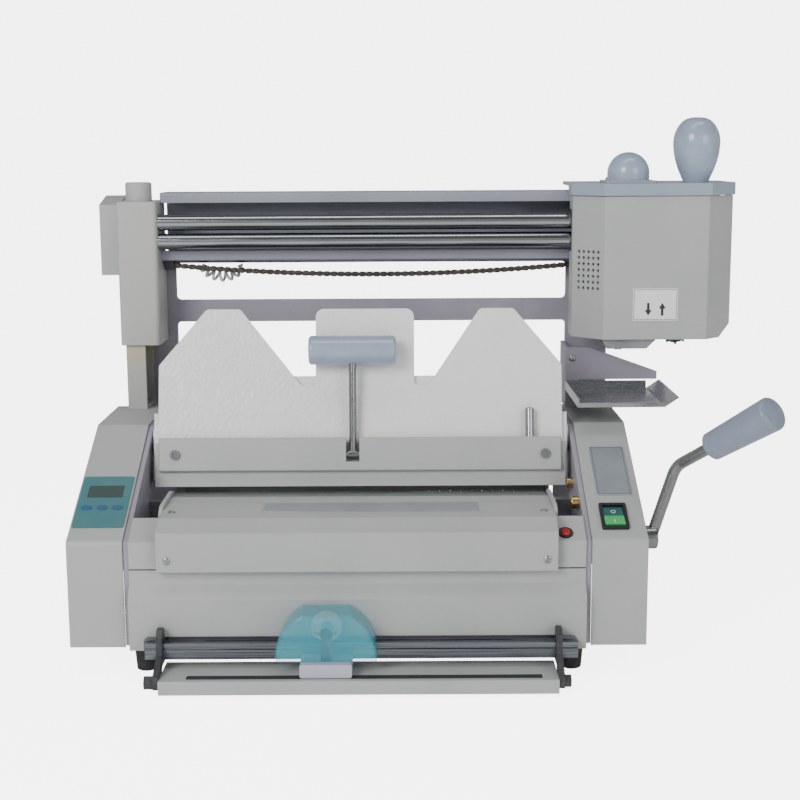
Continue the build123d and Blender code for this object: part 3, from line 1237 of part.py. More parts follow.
def head_plan(grow, back_y):
    """The head's outline from above, with its two front chamfers, grown outwards and cut off at the back."""
    left = HEAD_LEFT - grow
    right = HEAD_RIGHT + grow
    front = HEAD_FRONT_Y - grow
    return outline(
        (left, back_y), (left, front + HEAD_CHAMFER), (left + HEAD_CHAMFER, front),
        (right - HEAD_CHAMFER, front), (right, front + HEAD_CHAMFER), (right, back_y),
    )


head_height = HEAD_TOP_Z - HEAD_LOW_Z
shell = extrude(Plane.XY.offset(HEAD_LOW_Z) * head_plan(0, HEAD_BACK_Y), amount=head_height)
shell = fillet(shell.edges().filter_by(Axis.Z).group_by(Axis.Y)[0], HEAD_CORNER)
cavity_plan = head_plan(-HEAD_WALL, HEAD_BACK_Y + 1)
shell -= extrude(Plane.XY.offset(HEAD_LOW_Z - 1) * cavity_plan, amount=head_height + 2)
bevel_face = outline(
    (HEAD_RIGHT - HEAD_LOW_BEVEL, HEAD_LOW_Z - 1),
    (HEAD_RIGHT + 1, HEAD_LOW_Z - 1),
    (HEAD_RIGHT + 1, HEAD_LOW_Z + HEAD_LOW_BEVEL),
)
shell -= frontal(bevel_face, HEAD_FRONT_Y - 1, HEAD_BACK_Y + 1)
rod_zone_low = ROD_LOW_Z - ROD_RADIUS - 3
rod_zone_top = ROD_HIGH_Z + ROD_RADIUS + 3
rod_zone_y = ROD_Y - ROD_RADIUS - 3
shell_back_y = HEAD_BACK_Y + 1
shell -= block(HEAD_LEFT - 1, HEAD_LEFT + 4, rod_zone_y, shell_back_y, rod_zone_low, rod_zone_top)
plate_zone_low = CHANNEL_LOW_Z - 6
plate_zone_top = CHANNEL_TOP_Z - 5
shell -= block(HEAD_RIGHT - 4, HEAD_RIGHT + 1, rod_zone_y - 4, shell_back_y, plate_zone_low, plate_zone_top)
vent_plane = Plane(
    origin=(HEAD_LEFT + HEAD_CHAMFER / 2, HEAD_FRONT_Y + HEAD_CHAMFER / 2, HEAD_TOP_Z - VENT_DOWN),
    x_dir=(1, -1, 0),
    z_dir=(-1, -1, 0),
)
vent_cut = extrude(RegularPolygon(VENT_RADIUS, 6), amount=2 * HEAD_WALL, both=True)
vent_holes = []
for row in range(VENT_ROWS):
    for vent_column in range(VENT_COLUMNS):
        hole_x = (vent_column - (VENT_COLUMNS - 1) / 2) * VENT_PITCH
        hole_y = (row - (VENT_ROWS - 1) / 2) * VENT_PITCH
        vent_holes.append(vent_plane * Pos(hole_x, hole_y) * vent_cut)
shell = shell.cut(*vent_holes)
save("head_shell", shell)

lid_plan = head_plan(LID_OVERHANG, CHANNEL_BACK_Y)
lid = extrude(Plane.XY.offset(LID_TOP_Z - LID_SHEET) * lid_plan, amount=LID_SHEET)
skirt_height = LID_TOP_Z - LID_SKIRT_Z
skirt = extrude(Plane.XY.offset(LID_SKIRT_Z) * head_plan(LID_OVERHANG, HEAD_BACK_Y), amount=skirt_height)
skirt_inner = head_plan(LID_OVERHANG - HEAD_WALL, HEAD_BACK_Y + 1)
skirt -= extrude(Plane.XY.offset(LID_SKIRT_Z - 1) * skirt_inner, amount=skirt_height)
lid += skirt
lid = fillet(lid.edges().group_by(Axis.Z)[-1].sort_by(Axis.Y)[0:1], 1)
lid -= pillar(DOME_X, KNOB_Y, LID_TOP_Z - 10, LID_TOP_Z + 1, FILLER_RADIUS)
hinge_y = KNOB_Y + FLAP_HALF + 3
hinge_z = LID_TOP_Z + HINGE_RISE
hinge_left = DOME_X - HINGE_HALF
hinge_right = DOME_X + HINGE_HALF
for start in (hinge_left, hinge_right - KNUCKLE):
    end = start + KNUCKLE
    lid += shaft(start, end, hinge_y, hinge_z, HINGE_RADIUS)
    lid += block(start, end, hinge_y - 1, hinge_y + HINGE_RADIUS, LID_TOP_Z, hinge_z)
lid -= shaft(hinge_left - 1, hinge_right + 1, hinge_y, hinge_z, HINGE_PIN_RADIUS + RUNNING_GAP)
save("head_lid", lid)
flap_low_z = LID_TOP_Z + FLAP_REST_GAP
flap_top_z = flap_low_z + FLAP
flap_left = DOME_X - FLAP_HALF
flap_right = DOME_X + FLAP_HALF
flap_front_y = KNOB_Y - FLAP_HALF
flap_back_y = KNOB_Y + FLAP_HALF - 1
flap = block(flap_left, flap_right, flap_front_y, flap_back_y, flap_low_z, flap_top_z)
flap = fillet(flap.edges().filter_by(Axis.Z), FLAP_CORNER)
tongue_left = hinge_left + KNUCKLE + SHEET_GAP
tongue_right = hinge_right - KNUCKLE - SHEET_GAP
flap += block(tongue_left, tongue_right, KNOB_Y, hinge_y, hinge_z - 1, flap_top_z)
flap += shaft(tongue_left, tongue_right, hinge_y, hinge_z, HINGE_RADIUS)
flap += shaft(hinge_left, hinge_right, hinge_y, hinge_z, HINGE_PIN_RADIUS)
save("filler_flap", flap)
dome_base_z = flap_top_z
dome_neck = DOME_TOP_Z - dome_base_z - DOME_RADIUS
dome = Cylinder(DOME_RADIUS, dome_neck, align=BASE) + Pos(0, 0, dome_neck) * Sphere(DOME_RADIUS)
dome -= Pos(0, 0, -DOME_RADIUS) * Cylinder(2 * DOME_RADIUS, DOME_RADIUS, align=BASE)
save("dome_knob", Pos(DOME_X, KNOB_Y, dome_base_z) * dome)
pear_rise = PEAR_TOP_Z - LID_TOP_Z
pear_points = [(10.5, 0), (16.5, 14), (19.8, 30), (19.2, 40), (13.5, 50.5), (0, pear_rise)]
pear_side = Spline(*pear_points, tangents=((0.45, 1), (-1, 0)))
pear_face = make_face([Line((0, 0), pear_points[0]), pear_side, Line((0, pear_rise), (0, 0))])
save("pear_handle", Pos(PEAR_X, KNOB_Y, LID_TOP_Z) * revolve(Plane.XZ * pear_face, Axis.Z))

# Carriage block on the rods, carrying the shell, the tank and the cutter motor

carriage_front_y = ROD_Y - ROD_RADIUS - 4
carriage_back_y = ROD_Y + ROD_RADIUS + 3
carriage_low_z = ROD_LOW_Z - ROD_RADIUS - 5
carriage_top_z = ROD_HIGH_Z + ROD_RADIUS + 5
carriage = block(BLOCK_LEFT, BLOCK_RIGHT, carriage_front_y, carriage_back_y, carriage_low_z, carriage_top_z)
for rod_z in (ROD_HIGH_Z, ROD_LOW_Z):
    carriage -= shaft(BLOCK_LEFT - 1, BLOCK_RIGHT + 1, ROD_Y, rod_z, ROD_RADIUS + RUNNING_GAP)
carriage += block(BLOCK_LEFT, BLOCK_RIGHT, carriage_front_y, ROD_Y + 2, carriage_top_z, LID_TOP_Z - LID_SHEET)
carriage += block(BLOCK_LEFT, BLOCK_RIGHT, carriage_front_y, carriage_front_y + 4, HEAD_LOW_Z + 4, ROD_LOW_Z)
tank_front_y = HEAD_FRONT_Y + 5
tank_back_y = carriage_front_y
tank_low_z = HEAD_LOW_Z - EASY_GAP
tank = block(TANK_LEFT, TANK_RIGHT, tank_front_y, tank_back_y, tank_low_z, TANK_TOP_Z)
tank -= block(
    TANK_LEFT + TANK_WALL,
    TANK_RIGHT - TANK_WALL,
    tank_front_y + TANK_WALL,
    tank_back_y - TANK_WALL,
    tank_low_z + TANK_WALL,
    TANK_TOP_Z + 1,
)
roller_front_y = tank_front_y + 4
roller_back_y = tank_back_y - 4
slot_left = GLUE_ROLLER_X - GLUE_ROLLER_RADIUS - 1
slot_right = GLUE_ROLLER_X + GLUE_ROLLER_RADIUS + 1
slot_top_z = HEAD_LOW_Z + 3
roller_slot = block(slot_left, slot_right, roller_front_y - 1, roller_back_y + 1, HEAD_LOW_Z - 20, slot_top_z)
bore_radius = ROLLER_AXLE_RADIUS + RUNNING_GAP
roller_bore = spindle(GLUE_ROLLER_X, tank_front_y - 1, tank_back_y + 1, GLUE_ROLLER_Z, bore_radius)
shoe_low_z = HEAD_LOW_Z - GLUE_SHOE_DROP
shoe_points = outline(
    (TANK_LEFT, tank_low_z),
    (TANK_RIGHT + 8, tank_low_z),
    (TANK_RIGHT, shoe_low_z),
    (TANK_LEFT + 5, shoe_low_z),
)
shoe = frontal(shoe_points, tank_front_y, tank_back_y)
tank -= roller_slot
shoe -= roller_slot
tank -= roller_bore
shoe -= roller_bore
save("glue_tank", tank, shoe)
roller = spindle(GLUE_ROLLER_X, roller_front_y, roller_back_y, GLUE_ROLLER_Z, GLUE_ROLLER_RADIUS)
roller = fillet(roller.edges().filter_by(GeomType.CIRCLE), 1.5)
for turn in range(GLUE_GROOVES):
    angle = 2 * math.pi * turn / GLUE_GROOVES
    flute_x = GLUE_ROLLER_X + (GLUE_ROLLER_RADIUS + SHEET_GAP) * math.cos(angle)
    flute_z = GLUE_ROLLER_Z + (GLUE_ROLLER_RADIUS + SHEET_GAP) * math.sin(angle)
    roller -= spindle(flute_x, roller_front_y - 1, roller_back_y + 1, flute_z, GLUE_GROOVE_RADIUS)
roller += spindle(GLUE_ROLLER_X, tank_front_y, tank_back_y - SHEET_GAP, GLUE_ROLLER_Z, ROLLER_AXLE_RADIUS)
save("glue_roller", roller)

tooth_pitch = 2 * math.pi / CUTTER_TEETH
tooth_form = [
    (0, CUTTER_RADIUS),
    (0.12, CUTTER_RADIUS),
    (0.22, CUTTER_RADIUS - 3),
    (0.9, CUTTER_RADIUS - 1.4),
]
cutter_points = []
for tooth in range(CUTTER_TEETH):
    for share, radius in tooth_form:
        angle = (tooth + share) * tooth_pitch
        cutter_points.append((radius * math.cos(angle), radius * math.sin(angle)))
cutter_face = Pos(CUTTER_X, CUTTER_Z) * outline(*cutter_points)
cutter = frontal(cutter_face, CUTTER_FRONT_Y, CUTTER_FRONT_Y + CUTTER_THICKNESS)
motor_front_y = CUTTER_FRONT_Y + CUTTER_THICKNESS + 1
shaft_end_y = motor_front_y + CUTTER_SHAFT_SEAT
cutter += spindle(CUTTER_X, CUTTER_FRONT_Y - 2, shaft_end_y, CUTTER_Z, CUTTER_SHAFT_RADIUS)
cutter += spindle(CUTTER_X, CUTTER_FRONT_Y - 2, CUTTER_FRONT_Y, CUTTER_Z, CUTTER_COLLAR_RADIUS)
save("notching_cutter", cutter)
motor = spindle(CUTTER_X, motor_front_y, carriage_front_y, CUTTER_Z, MOTOR_RADIUS)
motor_bore = CUTTER_SHAFT_RADIUS + RUNNING_GAP
motor -= spindle(CUTTER_X, motor_front_y - 1, shaft_end_y + 1, CUTTER_Z, motor_bore)
save("carriage_block", carriage, motor)

# Drip tray beside the clamp and the bracket that holds it

tray_rim_z = TRAY_Z + TRAY_RIM
tray_floor_right = TRAY_RIGHT - TRAY_RAMP
tray_inside_right = tray_floor_right - EASY_GAP
tray_sheet_points = [
    (TRAY_LEFT, tray_rim_z),
    (TRAY_LEFT, TRAY_Z),
    (tray_floor_right, TRAY_Z),
    (TRAY_RIGHT, tray_rim_z),
    (TRAY_RIGHT - 1, tray_rim_z + 1),
    (tray_inside_right, TRAY_Z + TRAY_SHEET),
    (TRAY_LEFT + TRAY_SHEET, TRAY_Z + TRAY_SHEET),
    (TRAY_LEFT + TRAY_SHEET, tray_rim_z),
]
tray = frontal(outline(*tray_sheet_points), TRAY_FRONT_Y, TRAY_BACK_Y)
tray += block(TRAY_LEFT, tray_inside_right, TRAY_BACK_Y - TRAY_SHEET, TRAY_BACK_Y, TRAY_Z, tray_rim_z)
front_rim_y = TRAY_FRONT_Y + TRAY_SHEET
tray += block(TRAY_LEFT, tray_inside_right, TRAY_FRONT_Y, front_rim_y, TRAY_Z, TRAY_Z + TRAY_RIM / 2)
save("drip_tray", tray)
bracket_y = TRAY_BACK_Y + SHEET_GAP
bracket_foot_x = TRAY_LEFT + 12
bracket_tip_x = TRAY_RIGHT - 3
bracket_points = outline(
    (TRAY_LEFT, COVER_TOP_Z),
    (TRAY_LEFT, BRACKET_TOP_Z),
    (TRAY_LEFT + 20, BRACKET_TOP_Z),
    (bracket_tip_x, BRACKET_TIP_TOP_Z),
    (bracket_tip_x, BRACKET_TIP_LOW_Z),
    (bracket_foot_x, BRACKET_TIP_LOW_Z),
    (bracket_foot_x, COVER_TOP_Z),
)
bracket = frontal(bracket_points, bracket_y, bracket_y + BRACKET_SHEET)
bracket_right = TRAY_LEFT + BRACKET_SHEET
bracket += block(TRAY_LEFT, bracket_right, bracket_y, REAR_FRAME_Y, COVER_TOP_Z, BRACKET_TOP_Z)
save("tray_bracket", bracket)
screw_x = TRAY_LEFT + 6
screw_y = bracket_y - COVER_SCREW_HEAD
bracket_screws = []
for screw_z in (TRAY_Z - 6, TRAY_Z + 28):
    bracket_screws.append(spindle(screw_x, screw_y, bracket_y, screw_z, COVER_SCREW_RADIUS))

# Small guides at the right end of the table

bush_left = plate_inner - GUIDE_BUSH_LENGTH
bush_y = NIP_BAR_BACK_Y - 2
bush = shaft(bush_left, plate_inner, bush_y, GUIDE_BUSH_Z, GUIDE_BUSH_RADIUS)
bush -= shaft(bush_left - 1, plate_inner + 1, bush_y, GUIDE_BUSH_Z, GUIDE_BUSH_BORE)
stop_left = plate_inner - STOP_ROLLER_LENGTH
stop_roller = shaft(stop_left, plate_inner, FRONT_Y + STOP_ROLLER_BACK, GUIDE_BUSH_Z - 6, STOP_ROLLER_RADIUS)
stop_roller = fillet(stop_roller.edges().sort_by(Axis.X)[0], 1.2)
save("table_stops", bush, stop_roller)

# Screws of the console cover and of the tray's bracket

screw_front_y = console_front_y - COVER_SCREW_HEAD
screw_front_z = CONSOLE_LOW_Z + COVER_SCREW_UP
screw_top_y = console_slope_y + COVER_SCREW_BACK
screw_top_z = CONSOLE_TOP_Z + COVER_SCREW_HEAD
console_screws = []
for side in (-1, 1):
    x = side * (CONSOLE_HALF - COVER_SCREW_INSET)
    console_screws.append(spindle(x, screw_front_y, console_front_y, screw_front_z, COVER_SCREW_RADIUS))
    console_screws.append(pillar(x, screw_top_y, CONSOLE_TOP_Z, screw_top_z, COVER_SCREW_RADIUS))
save("cover_screws", *console_screws, *bracket_screws)
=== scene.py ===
import math

import bpy
import numpy as np
from mathutils import Euler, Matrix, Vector


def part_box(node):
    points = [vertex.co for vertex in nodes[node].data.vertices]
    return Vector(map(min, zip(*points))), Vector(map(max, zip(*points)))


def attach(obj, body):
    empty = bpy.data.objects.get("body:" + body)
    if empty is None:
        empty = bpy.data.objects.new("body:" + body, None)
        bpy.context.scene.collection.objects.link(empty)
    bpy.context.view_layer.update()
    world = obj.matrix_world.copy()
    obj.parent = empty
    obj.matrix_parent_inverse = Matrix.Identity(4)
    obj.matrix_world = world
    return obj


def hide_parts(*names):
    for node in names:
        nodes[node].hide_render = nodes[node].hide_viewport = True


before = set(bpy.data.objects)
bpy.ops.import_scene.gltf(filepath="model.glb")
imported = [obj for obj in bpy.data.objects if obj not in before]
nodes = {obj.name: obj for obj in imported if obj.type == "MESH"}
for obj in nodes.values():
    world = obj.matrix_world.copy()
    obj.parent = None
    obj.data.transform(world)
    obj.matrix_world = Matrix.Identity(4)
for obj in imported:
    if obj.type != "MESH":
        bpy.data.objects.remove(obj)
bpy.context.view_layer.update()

# The outer covers are folded sheet steel with a light warm grey powder coat. The coat is stoved, so it
# has a fine even orange peel, a slightly duller patch here and there, and a softened edge at each fold.


def paint(red, green, blue):
    """A colour from a paint chart, three numbers up to 255, as linear light: the power 2.2 of each share."""
    return tuple((share / 255) ** 2.2 for share in (red, green, blue))


def new_finish(name, colour, roughness, metallic=0.0):
    """A finish of one colour, whose colour, gloss and relief the next functions vary."""
    made = bpy.data.materials.new(name)
    made.use_nodes = True
    shader = made.node_tree.nodes["Principled BSDF"]
    shader.inputs["Base Color"].default_value = (*colour, 1.0)
    shader.inputs["Roughness"].default_value = roughness
    shader.inputs["Metallic"].default_value = metallic
    return made


def grain(made, size, detail=3.0, stretch=(1, 1, 1)):
    """A noise field on the piece's own metres. Its lumps are about size wide, times stretch on each axis."""
    tree = made.node_tree
    place = tree.nodes.new("ShaderNodeTexCoord")
    scale = tree.nodes.new("ShaderNodeMapping")
    scale.inputs["Scale"].default_value = [1 / (size * along) for along in stretch]
    noise = tree.nodes.new("ShaderNodeTexNoise")
    noise.inputs["Scale"].default_value = 1.0
    noise.inputs["Detail"].default_value = detail
    tree.links.new(place.outputs["Object"], scale.inputs["Vector"])
    tree.links.new(scale.outputs["Vector"], noise.inputs["Vector"])
    return noise.outputs["Fac"]


def spread(made, field, low, high, low_value, high_value):
    """The field from low to high, laid out evenly from low_value to high_value."""
    tree = made.node_tree
    share = tree.nodes.new("ShaderNodeMapRange")
    settings = {"From Min": low, "From Max": high, "To Min": low_value, "To Max": high_value}
    for name, value in settings.items():
        share.inputs[name].default_value = value
    tree.links.new(field, share.inputs["Value"])
    return share.outputs["Result"]


def tint(made, field, low, high, colour, strength=1.0):
    """Mixes another colour into the finish, from none where the field is low to strength where it is high."""
    tree = made.node_tree
    base = tree.nodes["Principled BSDF"].inputs["Base Color"]
    mix = tree.nodes.new("ShaderNodeMix")
    mix.data_type = "RGBA"
    share, first, second = mix.inputs["Factor"], mix.inputs[6], mix.inputs[7]
    if base.is_linked:
        tree.links.new(base.links[0].from_socket, first)
    else:
        first.default_value = base.default_value
    second.default_value = (*colour, 1.0)
    tree.links.new(spread(made, field, low, high, 0.0, strength), share)
    tree.links.new(mix.outputs[2], base)


def vary_gloss(made, field, smooth, rough):
    """Roughness from smooth to rough over the middle of the field."""
    shader = made.node_tree.nodes["Principled BSDF"]
    made.node_tree.links.new(spread(made, field, 0.3, 0.7, smooth, rough), shader.inputs["Roughness"])


def emboss(made, field, height):
    """Relief of that height in metres between the field's 0 and 1, on top of any relief already there."""
    tree = made.node_tree
    normal = tree.nodes["Principled BSDF"].inputs["Normal"]
    bump = tree.nodes.new("ShaderNodeBump")
    bump.inputs["Strength"].default_value = 1.0
    bump.inputs["Distance"].default_value = height
    if normal.is_linked:
        tree.links.new(normal.links[0].from_socket, bump.inputs["Normal"])
    tree.links.new(field, bump.inputs["Height"])
    tree.links.new(bump.outputs["Normal"], normal)


def soften_edges(made, radius):
    """Rounds the look of every sharp edge by that radius."""
    tree = made.node_tree
    bevel = tree.nodes.new("ShaderNodeBevel")
    bevel.samples = 4
    bevel.inputs["Radius"].default_value = radius
    tree.links.new(bevel.outputs["Normal"], tree.nodes["Principled BSDF"].inputs["Normal"])


def powder_coat(name, colour, dull_colour, roughness, peel=0.0014):
    """Stoved powder coat: soft folds, orange peel of that size, and faint duller patches."""
    fold_radius, relief = 0.0009, 0.00006
    made = new_finish(name, colour, roughness)
    soften_edges(made, fold_radius)
    tint(made, grain(made, 0.09, 2.0), 0.42, 0.72, dull_colour, 0.5)
    tint(made, grain(made, 0.0011, 1.0), 0.45, 0.8, dull_colour, 0.25)
    vary_gloss(made, grain(made, 0.05, 4.0), roughness - 0.05, roughness + 0.07)
    emboss(made, grain(made, peel, 1.5), relief)
    return made


def dress(finish, *names):
    """Puts a finish on CAD nodes, in the material slots that they have."""
    for name in names:
        held = nodes[name].data.materials
        if not held:
            held.append(finish)
        for slot in range(len(held)):
            held[slot] = finish


cover_coat = powder_coat("cover_powder_coat", paint(168, 170, 169), paint(156, 158, 158), 0.44)
dress(cover_coat, "left_side_cover", "right_side_cover", "base_front_cover", "lower_front_panel")
dress(cover_coat, "console_cover", "table_strip", "jaw_strip", "crease_platform")
dress(cover_coat, "post_caps", "back_box", "head_shell")

# The left post has the same coat. The old lacquer on the column below it has turned yellow near the
# post's foot, where the heat of the glue pot reaches it.


def place_along(made, axis):
    """The piece's own X, Y or Z in metres, as a field."""
    tree = made.node_tree
    place = tree.nodes.new("ShaderNodeTexCoord")
    axes = tree.nodes.new("ShaderNodeSeparateXYZ")
    tree.links.new(place.outputs["Object"], axes.inputs["Vector"])
    return axes.outputs[axis]


post_colour = paint(170, 171, 168)
lacquer = paint(196, 184, 140)
post_coat = powder_coat("post_powder_coat", post_colour, paint(158, 159, 157), 0.44)
post_low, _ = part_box("left_post")
up_post = place_along(post_coat, "Z")
yellow_low = post_low.z + 0.030
yellow_high = post_low.z + 0.052
yellow_top = post_low.z + 0.062
tint(post_coat, up_post, yellow_low, yellow_high, lacquer, 0.5)
tint(post_coat, up_post, yellow_high, yellow_top, post_colour)
dress(post_coat, "left_post")

# The floor pan, the inner side plates, the rear frame and the rod channel are heavier steel, under a
# thin purplish grey primer coat with a coarser grain. The tray's bracket is made of the same sheet.

frame_coat = powder_coat("frame_primer", paint(152, 148, 160), paint(132, 128, 140), 0.4, peel=0.002)
tint(frame_coat, grain(frame_coat, 0.03, 5.0), 0.55, 0.8, paint(176, 172, 182), 0.5)
dress(frame_coat, "base_frame", "rear_frame", "tray_bracket")
# The rod channel has its own copy of the primer, a little darker and bluer than the frame's: painted shade
# for the shade inside the channel, behind the rods.
channel_coat_painted_shade = powder_coat("channel_primer_painted_shade", paint(144, 146, 160), paint(128, 129, 144), 0.33, peel=0.002)
dress(channel_coat_painted_shade, "rear_channel")

# Four feet moulded in black rubber are screwed up into the floor pan. The rubber is dull and slightly
# rough, with dust in its pores.

foot_rubber = new_finish("foot_rubber", paint(38, 38, 40), 0.75)
tint(foot_rubber, grain(foot_rubber, 0.006, 5.0), 0.5, 0.75, paint(70, 69, 68), 0.6)
emboss(foot_rubber, grain(foot_rubber, 0.0008), 0.00004)
dress(foot_rubber, "rubber_feet")

# The left cover's temperature panel is a printed polyester film, satin teal, with a smoked window over
# the display and three raised keys under the film.

panel_film = new_finish("panel_film", paint(72, 118, 124), 0.32)
tint(panel_film, grain(panel_film, 0.02, 2.0), 0.4, 0.7, paint(92, 122, 124), 0.4)
emboss(panel_film, grain(panel_film, 0.0007), 0.00002)
dress(panel_film, "temperature_panel")
smoked_glass = new_finish("smoked_glass", paint(66, 80, 78), 0.12)
smoked_glass.node_tree.nodes["Principled BSDF"].inputs["Coat Weight"].default_value = 0.5
dress(smoked_glass, "display_window")
key_film = new_finish("key_film", paint(58, 96, 128), 0.3)
soften_edges(key_film, 0.0004)
dress(key_film, "panel_keys")

# The rocker switch is two mouldings: a black nylon bezel, slightly matt, and a glossy lamp rocker whose
# lower half is clear green acrylic.

black_nylon = new_finish("black_nylon", paint(34, 35, 37), 0.42)
soften_edges(black_nylon, 0.0004)
emboss(black_nylon, grain(black_nylon, 0.0006), 0.00003)
dress(black_nylon, "switch_bezel", "button_base", "power_inlet")
rocker_dark = new_finish("rocker_dark", paint(36, 88, 84), 0.2)
rocker_green = paint(62, 176, 96)
soften_edges(rocker_dark, 0.0005)
rocker_low, rocker_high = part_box("switch_rocker")
rocker_middle = (rocker_low + rocker_high) / 2
seam_half = 0.0008
seam_back, seam_front = rocker_middle.y + seam_half, rocker_middle.y - seam_half
tint(rocker_dark, place_along(rocker_dark, "Y"), seam_back, seam_front, rocker_green)
dress(rocker_dark, "switch_rocker")

# The push button is glossy red moulded plastic. It stands on a spring in its black nylon base, which is
# clipped into the base cover beside the console.

button_plastic = new_finish("button_plastic", paint(178, 42, 38), 0.22)
soften_edges(button_plastic, 0.0005)
dress(button_plastic, "push_button")

# The nip is ground and brushed steel plate: a bed, a moving bar, the shaft and the bent lever rod. The
# bed and bar were ground lengthwise, so their scratches run along X.


def brushed(name, colour, roughness, along, relief=0.00001):
    """Brushed metal: long fine scratches, stretched on one axis, in its gloss, colour and relief."""
    made = new_finish(name, colour, roughness, 1.0)
    soften_edges(made, 0.0005)
    scratches = grain(made, 0.0004, 3.0, along)
    tint(made, grain(made, 0.0015, 4.0, along), 0.35, 0.75, [share * 0.75 for share in colour], 0.5)
    vary_gloss(made, scratches, roughness - 0.09, roughness + 0.13)
    emboss(made, scratches, relief)
    return made


ground_steel = brushed("ground_steel", paint(176, 178, 182), 0.32, (80, 1, 1))
dress(ground_steel, "nip_bed", "nip_bar", "nip_shaft", "cover_screws")
rod_steel = brushed("rod_steel", paint(132, 134, 134), 0.22, (1, 1, 60))
dress(rod_steel, "nip_lever", "t_lever")

# The two grips and the two knobs are moulded in hard plastic and dipped in blue-grey enamel, which is
# glossy and slightly mottled.


def dipped_enamel(name, colour, mottle_colour, mottle, gloss_end):
    """Enamel from a dip: soft rims, mottles of that size, an uneven gloss and faint runs."""
    made = new_finish(name, colour, 0.22)
    soften_edges(made, 0.0008)
    tint(made, grain(made, mottle, 4.0), 0.4, 0.75, mottle_colour, 0.6)
    vary_gloss(made, grain(made, 0.012, 4.0), 0.18, gloss_end)
    emboss(made, grain(made, 0.004), 0.00004)
    return made


grip_enamel = dipped_enamel("grip_enamel", paint(150, 164, 184), paint(138, 151, 171), 0.02, 0.3)
grip_enamel.node_tree.nodes["Principled BSDF"].inputs["Coat Weight"].default_value = 0.4
dress(grip_enamel, "dome_knob", "pear_handle", "t_grip")
lever_enamel = dipped_enamel("lever_grip_enamel", paint(128, 138, 156), paint(122, 131, 148), 0.015, 0.32)
dress(lever_enamel, "nip_grip")

# The clamp's plates are cast aluminium, filled and painted with white hammered enamel, which dried in
# small dimples. The bar that is screwed along the front plate is folded steel with the covers' coat.

hammered = new_finish("white_hammered_enamel", paint(230, 230, 228), 0.34)
soften_edges(hammered, 0.0012)
tint(hammered, grain(hammered, 0.06, 3.0), 0.42, 0.72, paint(216, 219, 221), 0.6)
emboss(hammered, grain(hammered, 0.0036, 1.0), 0.0006)
emboss(hammered, grain(hammered, 0.0009, 1.0), 0.00003)
vary_gloss(hammered, grain(hammered, 0.02, 4.0), 0.27, 0.42)
dress(hammered, "clamp_rear_plate", "clamp_cheeks", "clamp_front_plate")
dress(cover_coat, "jaw_bar")

# The clamp's studs, the guide rods, the axle and the tray are bright: chromed or polished steel, with a
# film of oil and fine lengthwise wear.

chrome = new_finish("worn_chrome", paint(150, 153, 156), 0.12, 1.0)
vary_gloss(chrome, grain(chrome, 0.0008, 4.0, (60, 1, 1)), 0.08, 0.22)
tint(chrome, grain(chrome, 0.012, 5.0, (6, 1, 1)), 0.45, 0.75, paint(128, 128, 130), 0.4)
dress(chrome, "jaw_studs", "wheel_axle", "guide_rods")
tray_steel = brushed("tray_steel", paint(150, 152, 156), 0.2, (20, 20, 1))
dress(tray_steel, "drip_tray")

# The creasing rail is drawn aluminium, brushed along its length and dark in its drawing lines. The arms
# that carry it, the thumb screw, the chain's hangers and the cutter are dark satin metal.

rail_aluminium = brushed("rail_aluminium", paint(122, 126, 132), 0.26, (120, 1, 1), 0.00003)
tint(rail_aluminium, grain(rail_aluminium, 0.0006, 3.0, (150, 1, 1)), 0.5, 0.62, paint(70, 72, 78), 0.7)
dress(rail_aluminium, "crease_rail")
dark_casting = new_finish("dark_casting", paint(62, 63, 66), 0.45, 0.4)
soften_edges(dark_casting, 0.0005)
emboss(dark_casting, grain(dark_casting, 0.001, 4.0), 0.00006)
tint(dark_casting, grain(dark_casting, 0.006, 5.0), 0.5, 0.75, paint(92, 92, 94), 0.5)
dress(dark_casting, "crease_arms", "thumb_screw", "hanging_brackets", "notching_cutter")

# The slider is a block of grey die casting, with a creasing wheel of pale hard rubber inside a blown
# guard of clear teal plastic.

slider_cast = new_finish("slider_casting", paint(178, 180, 196), 0.38, 0.1)
soften_edges(slider_cast, 0.0005)
emboss(slider_cast, grain(slider_cast, 0.0012, 3.0), 0.00004)
tint(slider_cast, grain(slider_cast, 0.01, 4.0), 0.45, 0.75, paint(160, 162, 178), 0.5)
dress(slider_cast, "slider_block")
pale_rubber = new_finish("pale_rubber", paint(222, 220, 212), 0.6)
soften_edges(pale_rubber, 0.0005)
tint(pale_rubber, grain(pale_rubber, 0.004, 4.0), 0.45, 0.75, paint(178, 176, 168), 0.7)
dress(pale_rubber, "creasing_wheel")
guard_plastic = new_finish("guard_plastic", paint(74, 176, 194), 0.08)
guard_plastic.node_tree.nodes["Principled BSDF"].inputs["Alpha"].default_value = 0.38
dress(guard_plastic, "slider_guard")

# The roller chain is blued and oiled steel, almost black, and rubbed brighter here and there. It hangs
# between two hangers under the rod channel.

chain_steel = new_finish("oiled_chain_steel", paint(72, 68, 66), 0.34, 0.8)
tint(chain_steel, grain(chain_steel, 0.003, 3.0), 0.45, 0.7, paint(112, 106, 98), 0.6)
dress(chain_steel, "roller_chain")

# The control box, the carriage block, the glue tank and the roller are grey metal with a rough cast
# skin and darker stains. They are screwed to the floor pan and inside the head.

grey_casting = new_finish("grey_casting", paint(146, 148, 152), 0.48, 0.5)
soften_edges(grey_casting, 0.0006)
emboss(grey_casting, grain(grey_casting, 0.0016, 5.0), 0.00008)
tint(grey_casting, grain(grey_casting, 0.02, 5.0), 0.45, 0.75, paint(110, 112, 114), 0.6)
dress(grey_casting, "control_box", "carriage_block", "glue_tank", "glue_roller")

# The head's lid and the filler flap on its hinge are folded sheet steel like the covers, under a
# cooler blue-grey enamel with more gloss.

lid_enamel = powder_coat("lid_enamel", paint(148, 160, 174), paint(134, 146, 161), 0.34)
dress(lid_enamel, "head_lid", "filler_flap")

# Two small turned brass fittings stand on the right side plate beside the nip, where they guide and
# stop the table.

